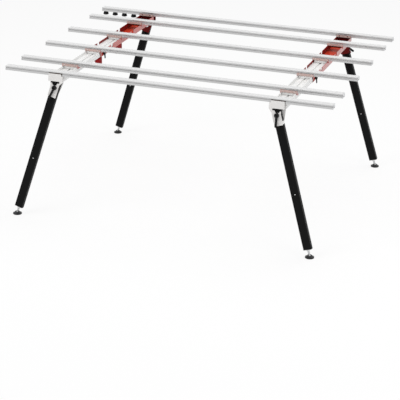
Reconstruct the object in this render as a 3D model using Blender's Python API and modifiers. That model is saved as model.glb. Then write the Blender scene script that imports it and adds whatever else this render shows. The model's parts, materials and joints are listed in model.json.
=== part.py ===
# Folding work table that widens: six slotted aluminium rails lie across two telescoping
# cross-members, which stand on four splayed folding legs with levelling feet.
# Metres, +Z up, the front of the table towards -Y. The origin is on the floor under the
# middle of the open table. Rails are numbered from the rear.

import math

import bmesh
import bpy
from mathutils import Matrix

# Table
TABLE_HEIGHT = 0.820
RAIL_LENGTH = 1.800  # over the end caps
PAIR_PITCH = 0.200  # inside the front and the rear pair of rails, and between all rails once closed
OPEN_PITCH = 0.320  # between the four middle rails while the table is widened
CROSS_INSET = 0.288  # cross-members, and leg axes at pivot height, from the rails' ends
TOUCH = 0.0003  # clearance between pieces that rest on each other

# Rail section
RAIL_WIDTH = 0.040
RAIL_HEIGHT = 0.022
RAIL_WALL = 0.0018
GROOVE_RISE = 0.0115  # lower edge of the side grooves, above the underside
GROOVE_HEIGHT = 0.005
GROOVE_DEPTH = 0.0045
GROOVE_TAPER = 0.0004  # each flank of a groove, towards its floor
SLOT_MOUTH = 0.0095  # T-slot in the underside
SLOT_LIP = 0.0022
SLOT_WIDTH = 0.017
SLOT_HEIGHT = 0.006

# End caps
CAP_THICKNESS = 0.003
CAP_PLUG = 0.012
PLUG_FIT = 0.0004

# Cross-members: the inner channel slides in the outer one
CHANNEL_WIDTH = 0.086
CHANNEL_HEIGHT = 0.034
CHANNEL_WALL = 0.0025
SLIDE_FIT = 0.0006
OUTER_OVERHANG = 0.010  # outer channel ahead of the middle of rail 4
INNER_REACH = 0.020  # inner channel behind the middle of rail 3
DECK_DROP = 0.014  # inner channel's deck below its upper edges
DECK_GROOVE = 0.010
GROOVE_FLOOR = 0.005  # depth of the deck's groove
STEP_DROP = 0.013  # inner channel's walls are lower inside the outer one
STEP_AHEAD = 0.012  # and start ahead of its end
NOTCH_WIDTH = 0.030  # notches in the outer channel's walls, midway between rails
NOTCH_DEPTH = 0.016

# Saddle clips under rails 2 to 5
SHEET = 0.0025
LIP_RISE = 0.0105  # lips above the rail's underside, just below its side groove
FLANGE_DROP = 0.012  # side flanges below the saddle's seat
FLANGE_TRAIL = 0.050  # side flanges behind the saddle
FLANGE_FIT = 0.0008

# Leg brackets
BRACKET_WIDTH = 0.074
CHEEK = 0.003
PLATE_CORNER = 0.003
PLATE_DROP = 0.030  # front plate below the rail's underside
NECK_WIDTH = 0.018
NECK_OUT = 0.008  # neck past the plate's inner edge
NECK_DROP = 0.003  # neck's outer side below the plate, before it slants in to the arm
NECK_FOOT = 0.020  # where the neck meets the arm, along the leg
ARM_TOP = 0.022  # arm above the pivot
ARM_SLOPE = 0.002  # and how much higher it is at the neck
HEAD_NOTCH = 0.0155  # notch in the arm's top, over the lever's hub, to each side
HEAD_NOTCH_FOOT = 0.008
HEAD_NOTCH_LOW = 0.0115
ARM_LENGTH = 0.055  # arm below the pivot, along the leg
EAR_LENGTH = 0.042  # inner cheek below the pivot, along the leg
ARM_MARGIN = 0.003  # arm past the leg's -X side, and stops past either side
ARM_INSET = 0.0015  # arm short of the leg's +X side, but for a right-hand stop's tab
STOP_HEIGHT = 0.015
STOP_RISE = 0.006  # stop above the arm's end
STOP_REACH = 0.017

# Legs
PIVOT_DROP = 0.086  # pivot under the table top
SPLAY = math.radians(16.5)  # along the rails
LEAN = math.radians(4.0)  # outwards, across the rails
LEG_WIDTH = 0.045
LEG_DEPTH = 0.025
LEG_WALL = 0.002
LEG_PLUG = 0.014
LEG_FIT = 0.0004  # leg to cheeks
HEAD_RISE = 0.034  # leg above its pivot
HEAD_RADIUS = 0.008

# Clamping levers at the leg pivots
STUD_DIAMETER = 0.010
STUD_FIT = 0.0005
HUB_DIAMETER = 0.026
HUB_HEIGHT = 0.015
HUB_CHAMFER = 0.003
NUT_DIAMETER = 0.016
NUT_HEIGHT = 0.006
LEVER_LENGTH = 0.063
LEVER_WIDTH = 0.011
LEVER_THICKNESS = 0.008
LEVER_LIFT = 0.004  # handle off the cheek

# Width locks on the outer channels
LOCK_STUD = 0.008
LOCK_HUB = 0.017
LOCK_HUB_HEIGHT = 0.011
LOCK_CHAMFER = 0.0025
LOCK_LENGTH = 0.029
LOCK_WIDTH = 0.012
LOCK_THICKNESS = 0.006
LOCK_CLEAR = 0.002  # hub under the passing side flanges
LOCK_SETBACK = 0.035  # lock behind the middle of rail 4

# Levelling feet
STEM_DIAMETER = 0.012
STEM_FIT = 0.0005
STEM_INSIDE = 0.040
STEM_REACH = 0.038  # from the leg's end to the ball
COLLAR_DIAMETER = 0.022
COLLAR_HEIGHT = 0.009
BALL_DIAMETER = 0.013
NECK_DIAMETER = 0.010
PAD_DIAMETER = 0.048
PAD_HEIGHT = 0.015
PAD_EDGE = 0.006
PAD_FLOOR = 0.003
SOCKET_FIT = 0.0006
SOCKET_FLARE = 0.0035
BOSS_WALL = 0.003

# Clamp knobs in the rear rail's slot
KNOB_COUNT = 4
KNOB_PITCH = 0.060
KNOB_INSET = 0.019  # outermost knob's axis from the rail's end
KNOB_DIAMETER = 0.034
KNOB_TOP_DIAMETER = 0.020
KNOB_HEIGHT = 0.022
KNOB_RIM = 0.0025
KNOB_FIT = 0.0007
KNOB_HEAD = 0.004

# Detail and cleaning of the meshes
TURNED_STEPS = 20
CORNER_STEPS = 4
SHARP_ANGLE = math.radians(35)
WELD_DISTANCE = 1e-6
FLAT_ANGLE = 1e-4
AXIS_DISTANCE = 1e-5  # profile points this near the axis close the turned piece
PIVOT_MARK = 0.05
MILLIMETRES = 1000  # outlines are filled at this scale, since the fill skips detail under 0.03 units

# Worked-out places
RAIL_BASE = TABLE_HEIGHT - RAIL_HEIGHT
SEAT_TOP = RAIL_BASE - TOUCH
SEAT_BASE = SEAT_TOP - SHEET
WALL_TOP = SEAT_BASE - TOUCH
CHANNEL_BASE = WALL_TOP - CHANNEL_HEIGHT
PIVOT_Z = TABLE_HEIGHT - PIVOT_DROP
CROSS_X = RAIL_LENGTH / 2 - CROSS_INSET
MIDDLE_SPAN = 3 * OPEN_PITCH
RAIL_Y = [
    MIDDLE_SPAN / 2 + PAIR_PITCH,
    MIDDLE_SPAN / 2,
    OPEN_PITCH / 2,
    -OPEN_PITCH / 2,
    -MIDDLE_SPAN / 2,
    -MIDDLE_SPAN / 2 - PAIR_PITCH,
]
SADDLE_HALF = RAIL_WIDTH / 2 + TOUCH + SHEET
FLANGE_X = CHANNEL_WIDTH / 2 + FLANGE_FIT
CHEEK_FACE = LEG_DEPTH / 2 + LEG_FIT  # inner faces of the cheeks from the leg plane
CHEEK_BACK = CHEEK_FACE + CHEEK
# The leg plane leans, so the outer cheek comes nearest to the rail at its top edge.
PLATE_TOP = RAIL_BASE + LIP_RISE
LEG_PLANE_Y = (
    RAIL_Y[0]
    + RAIL_WIDTH / 2
    + TOUCH
    + (PLATE_TOP - PIVOT_Z) * math.tan(LEAN)
    - CHEEK_FACE / math.cos(LEAN)
)
CHANNEL_END_Y = LEG_PLANE_Y - CHEEK_BACK / math.cos(LEAN) - (WALL_TOP - PIVOT_Z) * math.tan(LEAN) - TOUCH
BALL_HEIGHT = PAD_FLOOR + TOUCH + BALL_DIAMETER / 2
LOCK_Z = SEAT_TOP - FLANGE_DROP - LOCK_CLEAR - LOCK_HUB / 2
LOCK_Y = RAIL_Y[3] + LOCK_SETBACK

ENDS = (("left", -1), ("right", 1))
SIDES = (("front", -1), ("rear", 1))
# Rest angle of each leg lever from straight down, towards +X
LEVER_ANGLE = {
    "front_left": math.radians(-25),
    "front_right": math.radians(0),
    "rear_left": math.radians(-25),
    "rear_right": math.radians(55),
}

ALONG_X = Matrix(((0, 0, 1, 0), (1, 0, 0, 0), (0, 1, 0, 0), (0, 0, 0, 1)))
ALONG_Y = Matrix.Rotation(math.radians(90), 4, "X")


def clear_scene():
    for obj in list(bpy.data.objects):
        bpy.data.objects.remove(obj, do_unlink=True)


def make_collection(name, hidden):
    collection = bpy.data.collections.new(name)
    collection.hide_render = hidden
    bpy.context.scene.collection.children.link(collection)
    return collection


def make_material(name, colour, roughness, metallic):
    material = bpy.data.materials.new(name)
    material.use_nodes = True
    shader = material.node_tree.nodes["Principled BSDF"]
    shader.inputs["Base Color"].default_value = (*colour, 1)
    shader.inputs["Roughness"].default_value = roughness
    shader.inputs["Metallic"].default_value = metallic
    return material


clear_scene()
TABLE = make_collection("work_table", False)
CUTTERS = make_collection("cutters", True)
ALUMINIUM = make_material("anodised_aluminium", (0.83, 0.83, 0.84), 0.32, 0.9)
CAP_GREY = make_material("light_grey_plastic", (0.72, 0.73, 0.74), 0.5, 0.0)
RED_COAT = make_material("red_powder_coat", (0.42, 0.035, 0.03), 0.42, 0.0)
GREY_COAT = make_material("light_grey_powder_coat", (0.78, 0.77, 0.76), 0.45, 0.0)
BLACK_COAT = make_material("black_powder_coat", (0.012, 0.012, 0.013), 0.5, 0.0)
BLACK_PLASTIC = make_material("black_plastic", (0.015, 0.015, 0.016), 0.45, 0.0)
ZINC = make_material("zinc_plated_steel", (0.6, 0.6, 0.62), 0.3, 1.0)
RUBBER = make_material("black_rubber", (0.02, 0.02, 0.02), 0.8, 0.0)


def evaluated_mesh(obj):
    """The object's mesh with its modifiers or curve settings applied."""
    graph = bpy.context.evaluated_depsgraph_get()
    return bpy.data.meshes.new_from_object(obj.evaluated_get(graph))


def welded(mesh):
    """Closes the seams, and makes one face of each flat side."""
    shape = bmesh.new()
    shape.from_mesh(mesh)
    bmesh.ops.remove_doubles(shape, verts=shape.verts, dist=WELD_DISTANCE)
    bmesh.ops.dissolve_limit(shape, angle_limit=FLAT_ANGLE, verts=shape.verts, edges=shape.edges)
    shape.to_mesh(mesh)
    shape.free()
    return mesh


def extruded(loops, thickness):
    """A flat outline and its holes in the local XY plane, half the thickness to each side."""
    curve = bpy.data.curves.new("outline", "CURVE")
    curve.dimensions = "2D"
    curve.fill_mode = "BOTH"
    curve.extrude = thickness / 2 * MILLIMETRES
    for loop in loops:
        spline = curve.splines.new("POLY")
        spline.points.add(len(loop) - 1)
        for point, (x, y) in zip(spline.points, loop):
            point.co = (x * MILLIMETRES, y * MILLIMETRES, 0, 1)
        spline.use_cyclic_u = True
    guide = bpy.data.objects.new("outline", curve)
    CUTTERS.objects.link(guide)
    mesh = evaluated_mesh(guide)
    mesh.transform(Matrix.Scale(1 / MILLIMETRES, 4))
    mesh = welded(mesh)
    bpy.data.objects.remove(guide, do_unlink=True)
    bpy.data.curves.remove(curve)
    return mesh


def box(low, high):
    shape = bmesh.new()
    bmesh.ops.create_cube(shape, size=1)
    mesh = bpy.data.meshes.new("box")
    shape.to_mesh(mesh)
    shape.free()
    middle = [(a + b) / 2 for a, b in zip(low, high)]
    size = [b - a for a, b in zip(low, high)]
    mesh.transform(Matrix.LocRotScale(middle, None, size))
    return mesh


def turned(profile):
    """A profile of (radius, height), outer side from top to bottom, turned about local Z."""
    outline = bpy.data.meshes.new("profile")
    points = [(radius, 0, height) for radius, height in profile]
    outline.from_pydata(points, [(i, i + 1) for i in range(len(points) - 1)], [])
    lathe = bpy.data.objects.new("profile", outline)
    CUTTERS.objects.link(lathe)
    screw = lathe.modifiers.new("turn", "SCREW")
    screw.steps = screw.render_steps = TURNED_STEPS
    screw.use_merge_vertices = True
    screw.merge_threshold = AXIS_DISTANCE
    mesh = welded(evaluated_mesh(lathe))
    bpy.data.objects.remove(lathe, do_unlink=True)
    bpy.data.meshes.remove(outline)
    return mesh


def rounded(corners):
    """An outline whose corners (x, y, radius) are turned into arcs."""
    outline = []
    for i, (x, y, radius) in enumerate(corners):
        if not radius:
            outline.append((x, y))
            continue
        before = corners[i - 1]
        after = corners[(i + 1) % len(corners)]
        start = math.atan2(before[1] - y, before[0] - x)
        end = math.atan2(after[1] - y, after[0] - x)
        turn = (end - start + math.pi) % (2 * math.pi) - math.pi
        reach = radius / math.tan(abs(turn) / 2)
        centre_reach = radius / math.sin(abs(turn) / 2)
        middle = start + turn / 2
        centre = (x + centre_reach * math.cos(middle), y + centre_reach * math.sin(middle))
        first = (x + reach * math.cos(start), y + reach * math.sin(start))
        last = (x + reach * math.cos(end), y + reach * math.sin(end))
        angle = math.atan2(first[1] - centre[1], first[0] - centre[0])
        sweep = math.atan2(last[1] - centre[1], last[0] - centre[0]) - angle
        sweep = (sweep + math.pi) % (2 * math.pi) - math.pi
        for step in range(CORNER_STEPS + 1):
            at = angle + sweep * step / CORNER_STEPS
            outline.append((centre[0] + radius * math.cos(at), centre[1] + radius * math.sin(at)))
    return outline


def stadium(length, width, angle):
    """A bar with round ends that runs from the origin, at an angle from straight down."""
    radius = width / 2
    steps = 2 * CORNER_STEPS
    outline = []
    for centre, start in ((0.0, 0.0), (length - radius, math.pi)):
        for step in range(steps + 1):
            at = start + math.pi * step / steps
            outline.append((radius * math.cos(at), radius * math.sin(at) - centre))
    cos, sin = math.cos(angle), math.sin(angle)
    return [(x * cos - y * sin, x * sin + y * cos) for x, y in outline]


def new_object(name, mesh, matrix, collection):
    obj = bpy.data.objects.new(name, mesh)
    obj.matrix_world = matrix
    collection.objects.link(obj)
    return obj


def add_part(name, mesh, matrix, material):
    part = new_object(name, mesh, matrix, TABLE)
    if not mesh.materials:
        mesh.materials.append(material)
    mesh.shade_smooth()
    mesh.set_sharp_from_angle(angle=SHARP_ANGLE)
    return part


def add_helper(name, mesh, matrix):
    helper = new_object(name, mesh, matrix, CUTTERS)
    helper.hide_render = True
    helper.display_type = "WIRE"
    return helper


def combine(part, helper, operation):
    modifier = part.modifiers.new(helper.name, "BOOLEAN")
    modifier.operation = operation
    modifier.solver = "EXACT"
    modifier.object = helper


def joined(mesh, others):
    """One mesh from several that overlap."""
    base = new_object("base", mesh, Matrix(), CUTTERS)
    helpers = [add_helper("added", other, Matrix()) for other in others]
    for helper in helpers:
        combine(base, helper, "UNION")
    result = evaluated_mesh(base)
    for obj in (base, *helpers):
        bpy.data.objects.remove(obj, do_unlink=True)
    return result


def add_pivot(name, matrix, parent):
    pivot = bpy.data.objects.new(name, None)
    pivot.empty_display_size = PIVOT_MARK
    pivot.matrix_world = matrix
    TABLE.objects.link(pivot)
    if parent:
        attach(pivot, parent)
    return pivot


def attach(child, parent):
    """Parents the child and keeps its place. Every matrix_basis here is a world matrix."""
    child.parent = parent
    child.matrix_parent_inverse = parent.matrix_basis.inverted()


def rail_outline():
    half = RAIL_WIDTH / 2
    mouth = SLOT_MOUTH / 2
    slot = SLOT_WIDTH / 2
    slot_top = SLOT_LIP + SLOT_HEIGHT
    groove = half - GROOVE_DEPTH
    groove_top = GROOVE_RISE + GROOVE_HEIGHT
    right = [
        (slot, slot_top),
        (slot, SLOT_LIP),
        (mouth, SLOT_LIP),
        (mouth, 0),
        (half, 0),
        (half, GROOVE_RISE),
        (groove, GROOVE_RISE + GROOVE_TAPER),
        (groove, groove_top - GROOVE_TAPER),
        (half, groove_top),
        (half, RAIL_HEIGHT),
    ]
    return right + [(-y, z) for y, z in reversed(right)]


def rectangle(left, right, low, high):
    return [(left, low), (right, low), (right, high), (left, high)]


def chamber_limits():
    """Half-width, floor and roof of the chamber above the T-slot."""
    half = RAIL_WIDTH / 2 - GROOVE_DEPTH - RAIL_WALL
    return half, SLOT_LIP + SLOT_HEIGHT + RAIL_WALL, RAIL_HEIGHT - RAIL_WALL


def rail_chambers():
    half, floor, roof = chamber_limits()
    inner = SLOT_WIDTH / 2 + RAIL_WALL
    outer = RAIL_WIDTH / 2 - RAIL_WALL
    flank_roof = GROOVE_RISE - RAIL_WALL
    return [
        rectangle(-half, half, floor, roof),
        rectangle(inner, outer, RAIL_WALL, flank_roof),
        rectangle(-outer, -inner, RAIL_WALL, flank_roof),
    ]


def rail_mesh():
    length = RAIL_LENGTH - 2 * (CAP_THICKNESS + TOUCH)
    mesh = extruded([rail_outline(), *rail_chambers()], length)
    mesh.transform(ALONG_X)
    return mesh


def cap_mesh():
    """The cap on the +X end, with its outer face at X = 0."""
    plate = extruded([rail_outline()], CAP_THICKNESS)
    plate.transform(Matrix.Translation((-CAP_THICKNESS / 2, 0, 0)) @ ALONG_X)
    half, floor, roof = chamber_limits()
    plug = box(
        (-CAP_THICKNESS - CAP_PLUG, -half + PLUG_FIT, floor + PLUG_FIT),
        (-CAP_THICKNESS / 2, half - PLUG_FIT, roof - PLUG_FIT),
    )
    return joined(plate, [plug])


def clip_mesh():
    """A saddle centred under its rail, whose underside is at Z = 0."""
    seat_top = -TOUCH
    seat_base = seat_top - SHEET
    inner = RAIL_WIDTH / 2 + TOUCH
    half_length = FLANGE_X + SHEET
    saddle = extruded(
        [
            [
                (-SADDLE_HALF, seat_base),
                (SADDLE_HALF, seat_base),
                (SADDLE_HALF, LIP_RISE),
                (inner, LIP_RISE),
                (inner, seat_top),
                (-inner, seat_top),
                (-inner, LIP_RISE),
                (-SADDLE_HALF, LIP_RISE),
            ]
        ],
        2 * half_length,
    )
    saddle.transform(ALONG_X)
    flanges = [
        box(
            (min(side * FLANGE_X, side * half_length), -inner, seat_top - FLANGE_DROP),
            (max(side * FLANGE_X, side * half_length), SADDLE_HALF + FLANGE_TRAIL, seat_top - SHEET / 2),
        )
        for _, side in ENDS
    ]
    return joined(saddle, flanges)


def drawn_mesh(right, front, rear):
    """A section given by its +X half from the bottom to the top, drawn between two ends in Y."""
    mesh = extruded([right + [(-x, z) for x, z in reversed(right)]], rear - front)
    mesh.transform(Matrix.Translation((0, (front + rear) / 2, 0)) @ ALONG_Y)
    return mesh


def add_outer_channel(end, side):
    place = Matrix.Translation((side * CROSS_X, 0, 0))
    half = CHANNEL_WIDTH / 2
    inner = half - CHANNEL_WALL
    section = [
        (half, CHANNEL_BASE),
        (half, WALL_TOP),
        (inner, WALL_TOP),
        (inner, CHANNEL_BASE + CHANNEL_WALL),
    ]
    front = RAIL_Y[3] - OUTER_OVERHANG
    channel = add_part(
        f"outer_channel_{end}", drawn_mesh(section, front, CHANNEL_END_Y), place, RED_COAT
    )
    for rail in (2, 3):
        middle = (RAIL_Y[rail - 1] + RAIL_Y[rail]) / 2
        notch = box(
            (-CHANNEL_WIDTH, middle - NOTCH_WIDTH / 2, WALL_TOP - NOTCH_DEPTH),
            (CHANNEL_WIDTH, middle + NOTCH_WIDTH / 2, WALL_TOP + NOTCH_DEPTH),
        )
        combine(channel, add_helper(f"notch_{rail}_{end}", notch, place), "DIFFERENCE")
    radius = LOCK_STUD / 2 + STUD_FIT
    near, far = CHANNEL_WALL, -2 * CHANNEL_WALL
    bore = turned([(0, near), (radius, near), (radius, far), (0, far)])
    combine(channel, add_helper(f"lock_bore_{end}", bore, lock_matrix(side)), "DIFFERENCE")
    return channel


def add_inner_channel(end, side):
    """Two side walls and a grooved deck between them, near their upper edges."""
    half = CHANNEL_WIDTH / 2 - CHANNEL_WALL - SLIDE_FIT
    inner = half - CHANNEL_WALL
    groove = DECK_GROOVE / 2
    deck = WALL_TOP - DECK_DROP
    under = deck - CHANNEL_WALL
    section = [
        (groove + CHANNEL_WALL, under - GROOVE_FLOOR),
        (groove + CHANNEL_WALL, under),
        (inner, under),
        (inner, CHANNEL_BASE + CHANNEL_WALL + SLIDE_FIT),
        (half, CHANNEL_BASE + CHANNEL_WALL + SLIDE_FIT),
        (half, WALL_TOP),
        (inner, WALL_TOP),
        (inner, deck),
        (groove, deck),
        (groove, deck - GROOVE_FLOOR),
    ]
    rear = RAIL_Y[2] + INNER_REACH
    place = Matrix.Translation((side * CROSS_X, 0, 0))
    channel = add_part(f"inner_channel_{end}", drawn_mesh(section, -CHANNEL_END_Y, rear), place, GREY_COAT)
    step = box(
        (-CHANNEL_WIDTH, RAIL_Y[3] - OUTER_OVERHANG - STEP_AHEAD, WALL_TOP - STEP_DROP),
        (CHANNEL_WIDTH, rear + INNER_REACH, WALL_TOP + STEP_DROP),
    )
    combine(channel, add_helper(f"step_{end}", step, place), "DIFFERENCE")
    return channel


def lock_matrix(side):
    """On the outer channel's +X face, with local Z along +X."""
    at = (side * CROSS_X + CHANNEL_WIDTH / 2, LOCK_Y, LOCK_Z)
    return Matrix.Translation(at) @ ALONG_X


def add_lock(end, side):
    hub_base = TOUCH
    hub_top = hub_base + LOCK_HUB_HEIGHT
    hub = LOCK_HUB / 2
    stud = LOCK_STUD / 2
    stud_end = -CHANNEL_WALL - SLIDE_FIT + TOUCH
    knob = turned(
        [
            (0, hub_top),
            (hub - LOCK_CHAMFER, hub_top),
            (hub, hub_top - LOCK_CHAMFER),
            (hub, hub_base),
            (stud, hub_base),
            (stud, stud_end),
            (0, stud_end),
        ]
    )
    handle = extruded([stadium(LOCK_LENGTH, LOCK_WIDTH, 0)], LOCK_THICKNESS)
    handle.transform(Matrix.Translation((0, 0, hub_base + LOCK_HUB_HEIGHT / 2)))
    return add_part(f"width_lock_{end}", joined(knob, [handle]), lock_matrix(side), BLACK_PLASTIC)


def corner_matrix(end_sign, side_sign):
    """At a leg's pivot, in the leg's plane: local Y is the pivot axis, X runs along the rails."""
    at = (end_sign * CROSS_X, side_sign * LEG_PLANE_Y, PIVOT_Z)
    return Matrix.Translation(at) @ Matrix.Rotation(side_sign * LEAN, 4, "X")


def splay_angle(end_sign):
    return -end_sign * SPLAY


def leg_matrix(end_sign, side_sign):
    return corner_matrix(end_sign, side_sign) @ Matrix.Rotation(splay_angle(end_sign), 4, "Y")


def ball_distance():
    """Pivot to ball along the leg, so that all four pads stand on the floor."""
    return (PIVOT_Z - BALL_HEIGHT) / math.cos(LEAN) / math.cos(SPLAY)


def leg_to_corner(end_sign, points):
    """Leg outline points (x, z, ...) turned by the splay into the bracket's plane."""
    angle = splay_angle(end_sign)
    cos, sin = math.cos(angle), math.sin(angle)
    return [(x * cos + z * sin, z * cos - x * sin, *rest) for x, z, *rest in points]


def arm_limits():
    return -LEG_WIDTH / 2 - TOUCH - ARM_MARGIN, LEG_WIDTH / 2 - ARM_INSET


def outer_cheek(end_sign):
    """Front plate on the rail, a neck at its inner side and the arm that covers the leg's head."""
    inward = -end_sign
    half = BRACKET_WIDTH / 2
    neck = half + NECK_OUT
    top = (PLATE_TOP - PIVOT_Z) / math.cos(LEAN)
    base = (RAIL_BASE - PIVOT_Z) / math.cos(LEAN)
    low = base - PLATE_DROP
    left, right = arm_limits()
    outer, inner = (left, right) if end_sign < 0 else (right, left)
    tab = []
    if end_sign > 0:
        tab_x = LEG_WIDTH / 2 + TOUCH + ARM_MARGIN
        tab_low = STOP_RISE - ARM_LENGTH - TOUCH
        tab_high = tab_low + STOP_HEIGHT + 2 * TOUCH
        tab = [(outer, tab_low, 0), (tab_x, tab_low, 0), (tab_x, tab_high, 0), (outer, tab_high, 0)]
    arm = leg_to_corner(
        end_sign,
        [
            (inner, NECK_FOOT, 0),
            (inner, -ARM_LENGTH, PLATE_CORNER),
            (outer, -ARM_LENGTH, PLATE_CORNER),
            *tab,
            (outer, 0, 0),
        ],
    )
    outline = [
        (-inward * half, low, 0),
        (-inward * half, top, PLATE_CORNER),
        (inward * half, top, PLATE_CORNER),
        (inward * half, base, 0),
        (inward * neck, base, PLATE_CORNER),
        (inward * neck, low - NECK_DROP, 0),
        *arm,
        (arm[-1][0], ARM_TOP, PLATE_CORNER),
        (-inward * HEAD_NOTCH, ARM_TOP, 0),
        (-inward * HEAD_NOTCH_FOOT, HEAD_NOTCH_LOW, 0),
        (inward * HEAD_NOTCH_FOOT, HEAD_NOTCH_LOW, 0),
        (inward * HEAD_NOTCH, ARM_TOP + ARM_SLOPE / 2, 0),
        (inward * (neck - NECK_WIDTH), ARM_TOP + ARM_SLOPE, 0),
        (inward * (neck - NECK_WIDTH), low, 0),
    ]
    return rounded(outline if end_sign < 0 else outline[::-1])


def inner_cheek(end_sign):
    half = BRACKET_WIDTH / 2
    top = (SEAT_TOP - SHEET / 2 - PIVOT_Z) / math.cos(LEAN)
    left, right = arm_limits()
    ear = leg_to_corner(end_sign, [(right, -EAR_LENGTH, PLATE_CORNER), (left, -EAR_LENGTH, PLATE_CORNER)])
    return rounded([(-half, top, 0), (half, top, 0), (half, ARM_TOP, 0), *ear, (-half, ARM_TOP, 0)])


def plate_at(outline, thickness, matrix, y):
    mesh = extruded([outline], thickness)
    mesh.transform(matrix @ Matrix.Translation((0, y, 0)) @ ALONG_Y)
    return mesh


def add_bracket(corner, end_sign, side_sign, material):
    """Both cheeks, the seat under the rail, the rail's inner lip and the leg's stop, welded."""
    frame = corner_matrix(end_sign, side_sign)
    cheek_y = side_sign * (CHEEK_FACE + CHEEK / 2)
    bracket = add_part(
        f"bracket_{corner}", plate_at(outer_cheek(end_sign), CHEEK, frame, cheek_y), Matrix(), material
    )
    inner = plate_at(inner_cheek(end_sign), CHEEK, frame, -cheek_y)
    rail_y = side_sign * RAIL_Y[0]
    # The seat is as wide as the channel that carries it, and a tongue joins it to the outer cheek.
    lip = RAIL_WIDTH / 2 + TOUCH
    seat_section = [
        (0, SEAT_BASE),
        (0, SEAT_TOP),
        (side_sign * -lip, SEAT_TOP),
        (side_sign * -lip, PLATE_TOP),
        (side_sign * -SADDLE_HALF, PLATE_TOP),
        (side_sign * -SADDLE_HALF, SEAT_BASE),
    ]
    seat = extruded([seat_section], CHANNEL_WIDTH)
    seat.transform(Matrix.Translation((end_sign * CROSS_X, rail_y, 0)) @ ALONG_X)
    tongue_half = BRACKET_WIDTH / 2 - PLATE_CORNER
    tongue_y = sorted((rail_y - side_sign * PLATE_CORNER, rail_y + side_sign * (lip + CHEEK / 2)))
    tongue = box(
        (end_sign * CROSS_X - tongue_half, tongue_y[0], SEAT_BASE + TOUCH),
        (end_sign * CROSS_X + tongue_half, tongue_y[1], SEAT_TOP - TOUCH),
    )
    leg = leg_matrix(end_sign, side_sign)
    # The open leg rests on a stop that reaches in from the arm, at its outer side.
    leg_side = end_sign * (LEG_WIDTH / 2 + TOUCH)
    stop_x = sorted((leg_side, leg_side + end_sign * (ARM_MARGIN - TOUCH)))
    stop_y = sorted((side_sign * (CHEEK_FACE + CHEEK / 2), side_sign * (CHEEK_FACE - STOP_REACH)))
    stop_low = STOP_RISE - ARM_LENGTH
    stop_high = stop_low + STOP_HEIGHT
    stop = box((stop_x[0], stop_y[0], stop_low), (stop_x[1], stop_y[1], stop_high))
    stop.transform(leg)
    radius = STUD_DIAMETER / 2 + STUD_FIT
    bore = turned([(0, LEG_DEPTH), (radius, LEG_DEPTH), (radius, -LEG_DEPTH), (0, -LEG_DEPTH)])
    bore.transform(frame @ ALONG_Y)
    for label, mesh, operation in (
        ("inner_cheek", inner, "UNION"),
        ("seat", seat, "UNION"),
        ("tongue", tongue, "UNION"),
        ("stop", stop, "UNION"),
        ("bore", bore, "DIFFERENCE"),
    ):
        combine(bracket, add_helper(f"{label}_{corner}", mesh, Matrix()), operation)
    return bracket


def leg_mesh():
    """A rectangular tube with a round-cornered head, plugged at its foot. The pivot is at the origin."""
    half = LEG_WIDTH / 2
    foot = STEM_REACH - ball_distance()
    outline = rounded(
        [(-half, foot, 0), (half, foot, 0), (half, HEAD_RISE, HEAD_RADIUS), (-half, HEAD_RISE, HEAD_RADIUS)]
    )
    body = plate_at(outline, LEG_DEPTH, Matrix(), 0)
    leg = new_object("leg", body, Matrix(), CUTTERS)
    inside = LEG_DEPTH / 2 - LEG_WALL
    hollow = box(
        (LEG_WALL - half, -inside, foot + LEG_PLUG),
        (half - LEG_WALL, inside, HEAD_RISE + LEG_WALL),
    )
    radius = STUD_DIAMETER / 2 + STUD_FIT
    bore = turned([(0, LEG_DEPTH), (radius, LEG_DEPTH), (radius, -LEG_DEPTH), (0, -LEG_DEPTH)])
    bore.transform(ALONG_Y)
    thread = STEM_DIAMETER / 2 + STEM_FIT
    stem_hole = turned(
        [(0, 2 * LEG_PLUG), (thread, 2 * LEG_PLUG), (thread, -LEG_PLUG), (0, -LEG_PLUG)]
    )
    stem_hole.transform(Matrix.Translation((0, 0, foot)))
    helpers = [add_helper("cut", mesh, Matrix()) for mesh in (hollow, bore, stem_hole)]
    for helper in helpers:
        combine(leg, helper, "DIFFERENCE")
    mesh = evaluated_mesh(leg)
    for obj in (leg, *helpers):
        bpy.data.objects.remove(obj, do_unlink=True)
    return mesh


def lever_mesh(side_sign, angle):
    """Handle, hub, stud and nut in one, about the pivot axis, with the hub on the outer side."""
    hub_base = CHEEK_BACK + TOUCH
    hub_top = hub_base + HUB_HEIGHT
    hub, stud, nut = HUB_DIAMETER / 2, STUD_DIAMETER / 2, NUT_DIAMETER / 2
    nut_top = -CHEEK_BACK - TOUCH
    knob = turned(
        [
            (0, hub_top),
            (hub - HUB_CHAMFER, hub_top),
            (hub, hub_top - HUB_CHAMFER),
            (hub, hub_base),
            (stud, hub_base),
            (stud, nut_top),
            (nut, nut_top),
            (nut, nut_top - NUT_HEIGHT),
            (0, nut_top - NUT_HEIGHT),
        ]
    )
    knob.transform(Matrix.Rotation(math.radians(-90) * side_sign, 4, "X"))
    handle_y = side_sign * (hub_base + LEVER_LIFT + LEVER_THICKNESS / 2)
    handle = plate_at(stadium(LEVER_LENGTH, LEVER_WIDTH, angle), LEVER_THICKNESS, Matrix(), handle_y)
    return joined(knob, [handle])


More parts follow.
